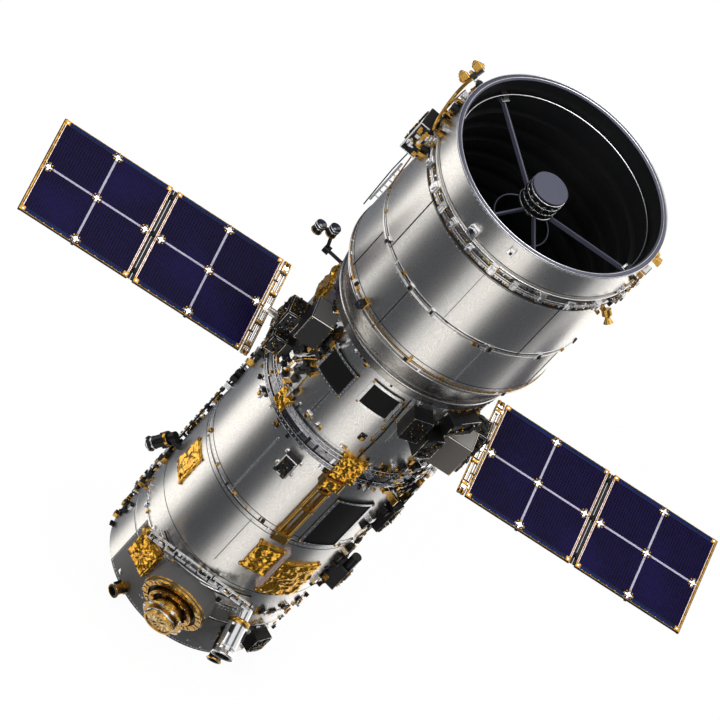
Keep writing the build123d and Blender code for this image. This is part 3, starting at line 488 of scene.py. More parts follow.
def tubes(paths: Array, radius: float, segments: int = 8) -> Shell:
    """Carry a circle along paths.

    A point is the path's point plus the radius times (cos t, sin t) on two axes square to the path.

    Args:
        paths: points by path and step.
        radius: of the circle.
        segments: sides of the circle.

    Returns:
        Tubes with closed ends.
    """
    paths = np.asarray(paths, float)
    along = np.gradient(paths, axis=1)
    along /= np.linalg.norm(along, axis=-1, keepdims=True)
    least = np.argmin(np.abs(along).mean(axis=1), axis=-1)
    first = np.cross(along, np.eye(3)[least][:, None])
    first /= np.linalg.norm(first, axis=-1, keepdims=True)
    second = np.cross(along, first)
    turn = np.linspace(0.0, 2 * np.pi, segments, endpoint=False)[:, None]
    points = paths[:, :, None] + radius * (np.cos(turn) * first[:, :, None] + np.sin(turn) * second[:, :,
                                                                                                    None])
    shell = grid(points, closed=True)
    index = np.arange(points[..., 0].size).reshape(points.shape[:3])
    shell.faces.append(np.concatenate([index[:, -1], index[:, 0, ::-1]]))
    shell.tones.append(np.zeros(2 * len(paths), int))
    return shell


def box_faces() -> tuple[Array, NDArray[np.int64], NDArray[np.int64]]:
    """Corner signs and faces of a box with bevelled edges.

    Each of the eight corners has three points, one on each side that meets there.

    Returns:
        The signs of the 24 points with the side each is on, 18 faces with four corners (six sides,
        then twelve edges) and eight with three.
    """
    signs = np.array([[i, j, k] for i in (-1, 1) for j in (-1, 1) for k in (-1, 1)], float)
    number = {tuple(s): 3 * n for n, s in enumerate(signs.astype(int))}
    quads: list[list[int]] = []
    edges: list[list[int]] = []
    for axis in range(3):
        first, second = (axis + 1) % 3, (axis + 2) % 3
        for sign in (-1, 1):
            ring = []
            for a, b in ((-1, -1), (1, -1), (1, 1), (-1, 1))[::sign]:
                corner = [0, 0, 0]
                corner[axis], corner[first], corner[second] = sign, a, b
                ring.append(number[tuple(corner)] + axis)
            quads.append(ring)
            for other in (-1, 1):
                low, high = [0, 0, 0], [0, 0, 0]
                low[axis], low[first], low[second] = sign, other, -1
                high[axis], high[first], high[second] = sign, other, 1
                ends = [number[tuple(low)], number[tuple(high)]]
                edge = [ends[0] + axis, ends[0] + first, ends[1] + first, ends[1] + axis]
                edges.append(edge if sign * other > 0 else edge[::-1])
    corners = [[3 * n, 3 * n + 1, 3 * n + 2][::int(s.prod())] for n, s in enumerate(signs)]
    sided = np.concatenate([np.repeat(signs, 3, axis=0), np.tile(np.eye(3), (8, 1))], axis=1)
    return sided, np.array(quads + edges), np.array(corners)


BOX_POINTS, BOX_QUADS, BOX_CORNERS = box_faces()


def boxes(places: Frames, size: ArrayLike, bevel: float = 0.004, tone: ArrayLike = 0,
          edge_tone: int | None = None) -> Shell:
    """Bevelled boxes that stand on their places.

    Args:
        places: the middle of each foot.
        size: width, length and height, for all boxes or for each.
        bevel: how far the edges are cut back.
        tone: finish number, for all boxes or for each.
        edge_tone: finish number of the bevels, where it differs.

    Returns:
        The boxes.
    """
    count = len(places.origin)
    half = np.broadcast_to(np.asarray(size, float) / 2, (count, 3))[:, None]
    cut = np.minimum(bevel, 0.45 * half)
    local = BOX_POINTS[:, :3] * (half - cut * (1 - BOX_POINTS[:, 3:])) + half * (0, 0, 1)
    start = (np.arange(count) * len(BOX_POINTS))[:, None, None]
    tones = np.broadcast_to(tone, count)[:, None]
    sides = np.repeat(tones, len(BOX_QUADS), axis=1)
    corners = np.repeat(tones, len(BOX_CORNERS), axis=1)
    if edge_tone is not None:
        sides[:, 6:] = edge_tone
        corners[:] = edge_tone
    return Shell(places.spread(local).reshape(-1, 3),
                 [(BOX_QUADS + start).reshape(-1, 4), (BOX_CORNERS + start).reshape(-1, 3)],
                 [sides.ravel(), corners.ravel()])


def rivets(places: Frames, radius: float, height: float = 0.0, segments: int = 8) -> Shell:
    """Low domes, such as rivet and screw heads."""
    tall = height or radius / 2
    return lathes(places, [(radius, -0.25 * tall), (radius, 0.5 * tall), (0.6 * radius, tall)], segments)


def hoop(radius: float, height: float, bead: float, segments: int = 192) -> Shell:
    """A round bead all the way round the tube.

    Args:
        radius: of the hoop's middle line.
        height: of the hoop above the floor.
        bead: radius of the bead.
        segments: sides round the tube.

    Returns:
        The hoop.
    """
    turn = np.linspace(-np.pi, np.pi, 9)
    return lathes(AXIS, np.stack([radius + bead * np.cos(turn), height + bead * np.sin(turn)], axis=1),
                  segments, False)


def band(radius: float, bottom: float, top: float, proud: float, segments: int = 192) -> Shell:
    """A flat strip all the way round the tube."""
    outer, sunk = radius + proud, radius - proud
    return lathes(AXIS, [(sunk, bottom), (outer, bottom), (outer, top), (sunk, top)], segments, False)


def clamps(places: Frames, size: float, height: float) -> Shell:
    """Plus-shaped clips: two crossed bars, a raised block, four pads and their screws.

    Args:
        places: the middle of each foot.
        size: across the bars.
        height: of the block.

    Returns:
        Clips with finish 0 for bars and block and 1 for pads and screws.
    """
    reach = 0.27 * size
    pads = places.each((reach, reach, 0), (-reach, reach, 0), (reach, -reach, 0), (-reach, -reach, 0))
    ends = places.each((0.42 * size, 0, 0), (-0.42 * size, 0, 0), (0, 0.42 * size, 0), (0, -0.42 * size, 0))
    return joined(
        boxes(places, (size, 0.2 * size, 0.55 * height)), boxes(places, (0.2 * size, size, 0.5 * height)),
        boxes(places, (0.32 * size, 0.32 * size, height)),
        boxes(pads, (0.14 * size, 0.14 * size, 0.65 * height), tone=1),
        rivets(ends.moved(z=0.5 * height), 0.09 * size, 0.4 * height).toned(1),
    )


def clutter(places: Frames, seed: int, smallest: Sequence[float], largest: Sequence[float],
            shares: Sequence[float]) -> Shell:
    """Small fittings of mixed sizes, such as connectors, brackets and latches.

    Args:
        places: where they stand.
        seed: of the mix.
        smallest: width, length and height of the smallest.
        largest: width, length and height of the largest.
        shares: how often each finish number comes.

    Returns:
        The fittings.
    """
    mix = np.random.default_rng(seed)
    count = len(places.origin)
    size = mix.uniform(smallest, largest, (count, 3))
    tone = mix.choice(len(shares), count, p=np.array(shares) / np.sum(shares))
    return boxes(places.tipped(2, mix.uniform(-4, 4, count)), size, 0.006, tone)


def creases(u: Array, v: Array, seed: int, pitch: float, folds: int = 9) -> Array:
    """Height of crumpled foil: a sum of triangle waves in mixed directions, from -1 to 1.

    Args:
        u: first parameter in metres.
        v: second parameter in metres.
        seed: of the mix.
        pitch: usual distance between folds in metres.
        folds: how many waves.

    Returns:
        The height at every place.
    """
    mix = np.random.default_rng(seed)
    turn, phase = mix.uniform(0, np.pi, folds), mix.uniform(0, 1, folds)
    rate = mix.uniform(0.45, 1.5, folds) / pitch
    across = u[..., None] * np.cos(turn) + v[..., None] * np.sin(turn)
    across = across + 0.12 * pitch * np.sin(5 * v[..., None] / pitch + 7 * phase)
    wave = 4 * np.abs((across * rate + phase) % 1.0 - 0.5) - 1.0
    return (wave / rate * rate.mean()).sum(axis=-1) / folds ** 0.5 / 1.6


# Edges that turn by more degrees than this stay sharp
SHARP_ANGLE = 32


def place(name: str, shell: Shell, finishes: Sequence[Finish], body: str = "telescope",
          replaces: Sequence[str] = ()) -> None:
    """Make a piece of the object from a shell.

    Args:
        name: of the piece.
        shell: its mesh.
        finishes: by finish number.
        body: that it rides on.
        replaces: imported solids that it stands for.
    """
    mesh = bpy.data.meshes.new(name)
    corners = np.concatenate([f.ravel() for f in shell.faces]).astype(np.int32)
    counts = np.concatenate([np.full(len(f), f.shape[1]) for f in shell.faces])
    mesh.vertices.add(len(shell.points))
    mesh.vertices.foreach_set("co", shell.points.astype(np.float32).ravel())
    mesh.loops.add(len(corners))
    mesh.loops.foreach_set("vertex_index", corners)
    mesh.polygons.add(len(counts))
    mesh.polygons.foreach_set("loop_start", (np.cumsum(counts) - counts).astype(np.int32))
    mesh.polygons.foreach_set("material_index", np.concatenate(shell.tones).astype(np.int32))
    if shell.uv is not None:
        layer = mesh.uv_layers.new(name="UVMap")
        layer.uv.foreach_set("vector", shell.uv[corners].astype(np.float32).ravel())
    mesh.update(calc_edges=True)
    mesh.shade_smooth()
    mesh.set_sharp_from_angle(angle=math.radians(SHARP_ANGLE))
    for finish in finishes:
        mesh.materials.append(finish.material())
    piece = bpy.data.objects.new(name, mesh)
    bpy.context.scene.collection.objects.link(piece)
    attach(piece, body)
    if replaces:
        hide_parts(*replaces)
    log.info("%s: %d faces on %s", name, len(counts), body)


def circle(hub: Frames, count: int, radius: float, height: float = 0.0, start: float = 0.0) -> Frames:
    """Places in a ring about the third axis of one place, with X pointing away from it."""
    all_round = Frames(np.repeat(hub.origin, count, 0), np.repeat(hub.axes, count, 0))
    return all_round.tipped(2, start + np.arange(count) * 360.0 / count).moved(x=radius, z=height)


def around(radius: float, height: float, count: int, start: float = -180.0, end: float = 180.0) -> Frames:
    """Evenly spaced places on the tube between two angles."""
    return wall(np.linspace(start, end, count, endpoint=False), radius, height)


# Distance between rows and columns of sown fittings
SOWN_PITCH = 0.08


def sown(seed: int, count: int, angles: Span, heights: Span,
         radius: float) -> Frames:
    """Seeded places on the tube between limits, in rows and columns one pitch apart.

    Args:
        seed: of the mix.
        count: how many.
        angles: first and last angle in degrees.
        heights: lowest and highest.
        radius: distance from the axis.

    Returns:
        The places.
    """
    mix = np.random.default_rng(seed)
    pitch = np.array((math.degrees(SOWN_PITCH / radius), SOWN_PITCH))
    low, high = np.array((angles, heights)).T
    steps = np.maximum(((high - low) / pitch).astype(int), 1)
    spots = low + pitch * (mix.integers(0, steps + 1, (count, 2)) + 0.15 * mix.uniform(-1, 1, (count, 2)))
    return wall(spots[:, 0], radius, spots[:, 1])


def run(radius: float, *stops: Triple, steps: int = 9) -> Array:
    """A cable's path along the tube through stops, eased between them.

    Args:
        radius: of the wall.
        stops: angle in degrees, height, and distance from the wall.
        steps: points between two stops.

    Returns:
        One path of points.
    """
    table = np.array(stops)
    share = np.linspace(0.0, len(stops) - 1.0, steps * (len(stops) - 1) + 1)
    low = np.minimum(share.astype(int), len(stops) - 2)
    part = (share - low)[:, None]
    ease = part * part * (3 - 2 * part)
    spot = table[low] * (1 - ease) + table[low + 1] * ease
    return wall(spot[:, 0], radius + spot[:, 2], spot[:, 1]).origin[None]


def frame_bars(places: Frames, width: float, length: float, bar: float, rise: float, tone: int = 0) -> Shell:
    """Four bars round a rectangle.

    Args:
        places: the middles of the rectangles.
        width: of the rectangle along the first axis.
        length: of the rectangle along the second axis.
        bar: width of a bar.
        rise: height of a bar.
        tone: finish number.

    Returns:
        The bars.
    """
    ends = places.each((0, -length / 2, 0), (0, length / 2, 0))
    sides = places.each((-width / 2, 0, 0), (width / 2, 0, 0))
    return joined(boxes(ends, (width + bar, bar, rise), 0.003, tone),
                  boxes(sides, (bar, length - bar, rise), 0.003, tone))


def corner_places(places: Frames, width: float, length: float) -> Frames:
    """The four corners of rectangles."""
    return places.each(*((i * width / 2, j * length / 2, 0.0) for i in (-1, 1) for j in (-1, 1)))


@dataclass
class TubeTrim:
    """Seams, rivet rows, panel lines and small fittings on the aft body and equipment section."""

    bead: float = 0.009
    rivet: float = 0.0105
    rivet_pitch: float = 0.098
    line_rise: float = 0.008

    # Panel lines: angle, radius, bottom, top, width, finish number
    LINES = (
        (-121.4, AFT_RADIUS, 3.99, 5.78, 0.022, 0), (-100.7, AFT_RADIUS, 2.5, 3.92, 0.012, 1),
        (-134.0, AFT_RADIUS, 6.62, 7.3, 0.03, 2), (-73.5, AFT_RADIUS, 7.3, 7.85, 0.026, 0),
        (-118.0, AFT_RADIUS, 6.6, 7.5, 0.012, 1),
        (-154.5, FORE_RADIUS, 9.7, 10.74, 0.022, 1), (-121.0, FORE_RADIUS, 9.7, 10.74, 0.018, 1),
        (-74.5, FORE_RADIUS, 9.7, 10.74, 0.024, 0), (-144.0, FORE_RADIUS, 10.84, 12.38, 0.022, 1),
        (-100.0, FORE_RADIUS, 10.84, 12.38, 0.009, 1), (-58.0, FORE_RADIUS, 10.84, 12.38, 0.014, 1),
        (-30.0, FORE_RADIUS, 9.7, 10.74, 0.02, 1), (-90.0, AFT_RADIUS, 0.2, 0.3, 0.02, 1),
    )

    def seams(self) -> Shell:
        """Bright beads with a dark groove beside each seam."""
        heights = ((AFT_RADIUS, Z_LOWER), (AFT_RADIUS, Z_UPPER), (AFT_RADIUS, Z_SKIRT - 0.02),
                   (FORE_RADIUS, Z_FORE_UPPER + 0.11), (AFT_RADIUS, Z_LOWER - 0.5))
        bright = [hoop(r, z + 0.026, self.bead) for r, z in heights]
        dark = [band(r, z - 0.012, z + 0.012, 0.003).toned(1) for r, z in heights]
        lines = [band(r, z - 0.007, z + 0.007, 0.003).toned(1) for r, z in (
            (AFT_RADIUS, Z_LOWER + 0.62), (AFT_RADIUS, Z_UPPER - 0.12), (AFT_RADIUS, Z_UPPER + 0.14),
            (FORE_RADIUS, Z_FORE + 0.2), (FORE_RADIUS, Z_FORE_UPPER + 0.045), (FORE_RADIUS, Z_CLIP - 0.15),
            (FORE_RADIUS, Z_BAND + 0.03))]
        cone = [hoop(np.interp(z, (Z_SKIRT + 0.14, Z_FORE - 0.02), (AFT_RADIUS + 0.06, FORE_RADIUS - 0.042)),
                     z, 0.014)
                for z in (Z_SKIRT + 0.2, Z_FORE - 0.1)]
        return joined(*bright, *dark, *lines, *cone)

    def rows(self) -> Shell:
        """Rivets in rows beside the seams, some in pairs."""
        rows = ((AFT_RADIUS, Z_LOWER - 0.06), (AFT_RADIUS, Z_LOWER + 0.07), (AFT_RADIUS, Z_UPPER - 0.065),
                (AFT_RADIUS, Z_UPPER + 0.075), (AFT_RADIUS, Z_FLANGE - 0.07),
                (AFT_RADIUS, Z_EQUIPMENT + 0.06),
                (AFT_RADIUS, Z_SKIRT - 0.075), (FORE_RADIUS, Z_FORE + 0.15),
                (FORE_RADIUS, Z_FORE_UPPER - 0.05),
                (FORE_RADIUS, Z_FORE_UPPER + 0.075), (FORE_RADIUS, Z_CLIP - 0.17),
                (FORE_RADIUS, Z_RIM - 0.05),
                (AFT_RADIUS, Z_BAY + 0.05))
        return joined(*(rivets(around(r, z, round(2 * np.pi * r / self.rivet_pitch)), self.rivet) for r,
                        z in rows))

    def lines(self) -> Shell:
        """Raised joints along the tube between its sheets."""
        angle, radius, bottom, top, width, tone = np.array(self.LINES).T
        size = np.stack([width, top - bottom, np.full(len(width), 2 * self.line_rise)], axis=-1)
        strips = boxes(wall(angle, radius - self.line_rise, (bottom + top) / 2), size, 0.003,
                       tone.astype(int))
        heads = [wall(a + side * np.degrees(0.03 / r), r, np.arange(b + 0.06, t, 0.12))
                 for a, r, b, t in zip(angle, radius, bottom, top) for side in (-1, 1)]
        return joined(strips, *(rivets(h, 0.008) for h in heads))

    def fittings(self) -> Shell:
        """Clips, latches and connectors along the seams, denser towards the silhouettes."""
        parts = []
        for seed, (height, radius, count) in enumerate((
            (Z_LOWER + 0.02, AFT_RADIUS, 44), (Z_UPPER + 0.02, AFT_RADIUS, 26),
            (Z_FLANGE - 0.1, AFT_RADIUS, 46),
            (Z_EQUIPMENT + 0.1, AFT_RADIUS, 54), (Z_SKIRT - 0.08, AFT_RADIUS, 60),
            (Z_FORE + 0.06, FORE_RADIUS, 22),
            (Z_FORE_UPPER + 0.07, FORE_RADIUS, 16),
        )):
            spots = sown(seed + 10, count, (-190.0, 20.0), (height - 0.035, height + 0.035), radius - 0.004)
            parts.append(clutter(spots, seed, (0.025, 0.03, 0.02), (0.085, 0.1, 0.055), (0.42, 0.28, 0.3)))
        return joined(*parts)

    def build(self) -> None:
        """Place the trim."""
        place("tube_seams", self.seams(), (MACHINED, BLACK_PAINT))
        place("tube_rivets", self.rows(), (MACHINED,))
        place("tube_lines", self.lines(), (MACHINED, BLACK_PAINT, GOLD_PLATE))
        place("tube_fittings", self.fittings(), GOLD_FIRST)


@dataclass
class ForeTrim:
    """Gold beads, wiring and brackets on the fore tube, and the sensors under the rim."""

    bead: float = 0.016
    wire_beads: int = 250
    bracket: Triple = (0.13, 0.17, 0.05)

    MID_BRACKETS = (-147.7, -121.3, -106.0, -73.0, -45.0)
    RING_BRACKETS = (-175.0, -161.0, -147.0, -136.0, -127.0, -113.0, -99.0, -87.0, -73.0, -58.0, -42.0,
                     -25.0, -10.0)

    def beads(self) -> Shell:
        """Gold beads on the fore tube's aft edge and silver ones on the clip ring."""
        gold = [hoop(FORE_RADIUS, Z_FORE + h, self.bead) for h in (0.03, 0.09)]
        gold.append(band(FORE_RADIUS, Z_FORE + 0.045, Z_FORE + 0.075, 0.003).toned(1))
        wires = [hoop(FORE_RADIUS + 0.006, Z_CLIP - h, 0.009).toned(1) for h in (0.085, 0.115)]
        silver = [hoop(CLIP_RADIUS, z, 0.011).toned(2)
                  for z in (Z_CLIP + 0.02, Z_CLIP + 0.065, Z_BAND - 0.03)]
        dark = [band(CLIP_RADIUS - 0.001, z, z + 0.016, 0.002).toned(1)
                for z in (Z_CLIP + 0.034, Z_CLIP + 0.08, Z_BAND - 0.062)]
        return joined(*gold, *wires, *silver, *dark)

    def harness(self) -> Shell:
        """Wrapped wiring under and on the clip ring: rows of beads of mixed finishes, with gaps."""
        mix = np.random.default_rng(3)
        parts = []
        for radius, height, share in ((FORE_RADIUS - 0.006, Z_CLIP - 0.04, 0.88),
                                      (CLIP_RADIUS - 0.008, Z_CLIP + 0.14, 0.4)):
            row = around(radius, height, self.wire_beads)
            keep = np.flatnonzero(mix.uniform(size=self.wire_beads) < share)
            row = Frames(row.origin[keep], row.axes[keep]).moved(y=mix.uniform(-0.016, 0.016, len(keep)))
            parts.append(clutter(row, 4, (0.02, 0.024, 0.02), (0.042, 0.05, 0.04), (0.42, 0.24, 0.24, 0.1)))
        return joined(*parts)

    def brackets(self) -> Shell:
        """Silver brackets over the clip ring and the mid seam, with gold screws."""
        ring = wall(np.array(self.RING_BRACKETS), CLIP_RADIUS - 0.004, Z_CLIP + 0.1)
        seam = wall(np.array(self.MID_BRACKETS), FORE_RADIUS - 0.003, Z_FORE_UPPER + 0.06)
        width, length, rise = self.bracket
        parts = [boxes(ring.moved(z=0.03), (width, 1.25 * length, rise), 0.01, 2),
                 boxes(ring.moved(z=0.07), (0.55 * width, 0.6 * length, rise), 0.008, 2),
                 rivets(corner_places(ring.moved(z=0.03 + rise), 0.75 * width, 0.95 * length), 0.013),
                 boxes(seam, (0.8 * width, length, 0.7 * rise), 0.008, 2),
                 boxes(seam.moved(z=0.7 * rise), (0.4 * width, 0.4 * length, 0.03), 0.006, 1),
                 rivets(corner_places(seam.moved(z=0.7 * rise), 0.5 * width, 0.7 * length), 0.011)]
        return joined(*parts)

    def sensors(self) -> Shell:
        """The round lens and the square box under the rim, and the sensor on the fore wall."""
        eye = wall(-117.5, FORE_RADIUS + 0.068, Z_BAND + 0.13)
        square = wall(-98.0, FORE_RADIUS + 0.058, Z_BAND + 0.39)
        post = wall(-133.0, FORE_RADIUS - 0.003, Z_FORE + 0.11)
        return joined(
            lathes(eye, [(0.085, 0.0), (0.085, 0.03), (0.078, 0.04), (0.066, 0.04), (0.06, 0.024)],
                   28).toned(2),
            lathes(eye, [(0.058, 0.018), (0.05, 0.03), (0.03, 0.036), (0.0, 0.038)], 24, False).toned(4),
            rivets(circle(eye, 8, 0.074, 0.036), 0.009),
            boxes(square, (0.09, 0.1, 0.018), 0.004, 2),
            boxes(square.moved(z=0.018), (0.05, 0.055, 0.01), 0.004, 1),
            rivets(corner_places(square, 0.1, 0.12), 0.009),
            boxes(post, (0.15, 0.2, 0.05), 0.008, 0),
            boxes(post.moved(z=0.05), (0.13, 0.16, 0.12), 0.012, 1),
            lathes(post.moved(y=0.02, z=0.17), [(0.05, 0.0), (0.05, 0.03), (0.03, 0.03)], 16).toned(4),
        )

    def gold_side(self) -> Shell:
        """Gold and copper pipes and boxes where the clip ring meets the left silhouette."""
        spots = sown(21, 84, (148.0, 188.0), (Z_CLIP - 0.4, Z_RIM - 0.15), FORE_SEAT)
        right = sown(22, 26, (-34.0, -2.0), (Z_CLIP - 0.25, Z_RIM - 0.1), FORE_SEAT)
        pipes = [tubes(run(FORE_RADIUS, *stops), radius).toned(tone) for radius, tone, stops in (
            (0.032, 0, ((178, Z_CLIP - 0.2, 0.06), (170, Z_CLIP + 0.05, 0.14), (159, Z_BAND + 0.1, 0.22),
                        (148, Z_BAND + 0.22, 0.3))),
            (0.024, 0, ((166, Z_CLIP + 0.1, 0.05), (158, Z_BAND + 0.05, 0.08), (148, Z_BAND + 0.3, 0.1),
                        (140, Z_BAND + 0.4, 0.05))),
            (0.014, 3, ((180, Z_FORE_UPPER + 0.1, 0.03), (173, Z_CLIP - 0.7, 0.08),
                        (168, Z_CLIP - 0.1, 0.14), (152, Z_BAND + 0.1, 0.2))),
            (0.012, 1, ((170, Z_FORE + 0.3, 0.12), (166, Z_FORE_UPPER, 0.15), (167, Z_CLIP - 0.8, 0.13))),
            (0.016, 0, ((-10, Z_CLIP - 0.2, 0.03), (-14, Z_CLIP + 0.1, 0.1), (-18, Z_BAND + 0.3, 0.06))),
        )]
        head = wall(146.5, FORE_RADIUS, Z_BAND + 0.25).tipped(2, -55)
        caps = head.each((0.145, 0, 0.478), (-0.145, 0, 0.478))
        pipes += [boxes(caps.moved(z=-0.152), (0.156, 0.156, 0.155), 0.012, 0),
                  boxes(caps, (0.11, 0.11, 0.04), 0.01, 0), rivets(caps.moved(z=0.04), 0.035, 0.03),
                  boxes(head.each((0.0, 0.0, 0.36), (0.22, 0.0, 0.36), (-0.22, 0.0, 0.36)),
                        (0.06, 0.13, 0.07), 0.008, 0),
                  boxes(head.moved(z=0.1), (0.12, 0.12, 0.09), 0.01, 1),
                  boxes(head.moved(z=0.21), (0.1, 0.1, 0.05), 0.01, 2)]
        block = wall(-6.0, FORE_SEAT, Z_BAND + 0.36)
        pipes += [boxes(block, (0.2, 0.24, 0.11), 0.014, 0),
                  boxes(block.moved(x=0.02, z=0.11), (0.12, 0.13, 0.09), 0.012, 0),
                  boxes(block.moved(y=-0.16), (0.12, 0.1, 0.07), 0.01, 1),
                  boxes(block.moved(y=0.15), (0.11, 0.08, 0.06), 0.01, 0)]
        return joined(clutter(spots, 23, (0.03, 0.04, 0.04), (0.1, 0.12, 0.16), (0.36, 0.3, 0.24, 0.1)),
                      clutter(right, 24, (0.03, 0.03, 0.03), (0.09, 0.1, 0.12), (0.5, 0.25, 0.15, 0.1)),
                      *pipes)

    def build(self) -> None:
        """Place the trim."""
        mixed = (GOLD_PLATE, BLACK_PAINT, MACHINED, WIRE, LENS)
        place("fore_beads", self.beads(), (BRASS, BLACK_PAINT, MACHINED))
        place("fore_harness", self.harness(), (GOLD_PLATE, BLACK_PAINT, MACHINED, WIRE))
        place("fore_brackets", self.brackets(), GOLD_FIRST)
        place("fore_sensors", self.sensors(), mixed)
        place("fore_pipes", self.gold_side(), mixed)


@dataclass
class Aperture:
    """Fine rings, plates and bands inside the aperture."""

    rim_line: float = 0.007
    plate: Triple = (0.17, 0.11, 0.03)

    VANES = (136.0, -122.0, -83.0, -20.0)

    def rings(self) -> Shell:
        """A pale line on the rim, a silver edge below it and the housing's bright edges."""
        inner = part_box("baffle_liner")[1].x
        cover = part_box("secondary_cover")
        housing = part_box("secondary_housing")
        radius = cover[1].x
        pale = [hoop(inner - 0.004, TOP - 0.004, self.rim_line),
                hoop(FORE_RADIUS + 0.01, TOP - 0.006, 0.005)]
        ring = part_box("inner_ring")
        pale.append(hoop(ring[1].x - 0.03, ring[1].z, 0.008))
        edge = [hoop(radius - 0.006, z, 0.008, 72).toned(t) for z,
                t in ((cover[1].z - 0.004, 2), (housing[0].z + 0.02, 0))]
        bands = [hoop(radius - 0.002, z, 0.012, 72)
                 for z in np.linspace(housing[0].z + 0.05, cover[0].z - 0.04, 4)]
        gold = [hoop(FORE_RADIUS + 0.012, Z_RIM - 0.004, 0.006)]
        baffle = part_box("central_baffle")
        lip = [hoop(baffle[1].x, baffle[1].z, 0.012, 96).toned(2)]
        return joined(*pale, *edge, *bands, *gold, *lip)

    def plates(self) -> Shell:
        """Clip plates where the vanes meet the wall and clamps round the housing's waist."""
        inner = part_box("baffle_liner")[1].x - 0.02
        cover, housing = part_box("secondary_cover"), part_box("secondary_housing")
        tips = wall(np.array(self.VANES), inner - 0.14, TOP - 0.44).tipped(0, -90)
        waist = wall(np.linspace(0, 360, 14, endpoint=False), cover[1].x - 0.03,
                     (cover[0].z + housing[0].z) / 2)
        width, length, rise = self.plate
        return joined(boxes(tips, (width, length, rise), 0.006, 0),
                      rivets(corner_places(tips.moved(z=rise), 0.7 * width, 0.6 * length), 0.012).toned(1),
                      boxes(waist, (0.05, 0.24, 0.035), 0.005, 0),
                      boxes(waist.moved(x=0.07), (0.03, 0.16, 0.03), 0.005, 1))

    def build(self) -> None:
        """Place the details."""
        place("aperture_rings", self.rings(), (MACHINED, GOLD_PLATE, LAVENDER))
        place("aperture_plates", self.plates(), (MACHINED, BLACK_PAINT))


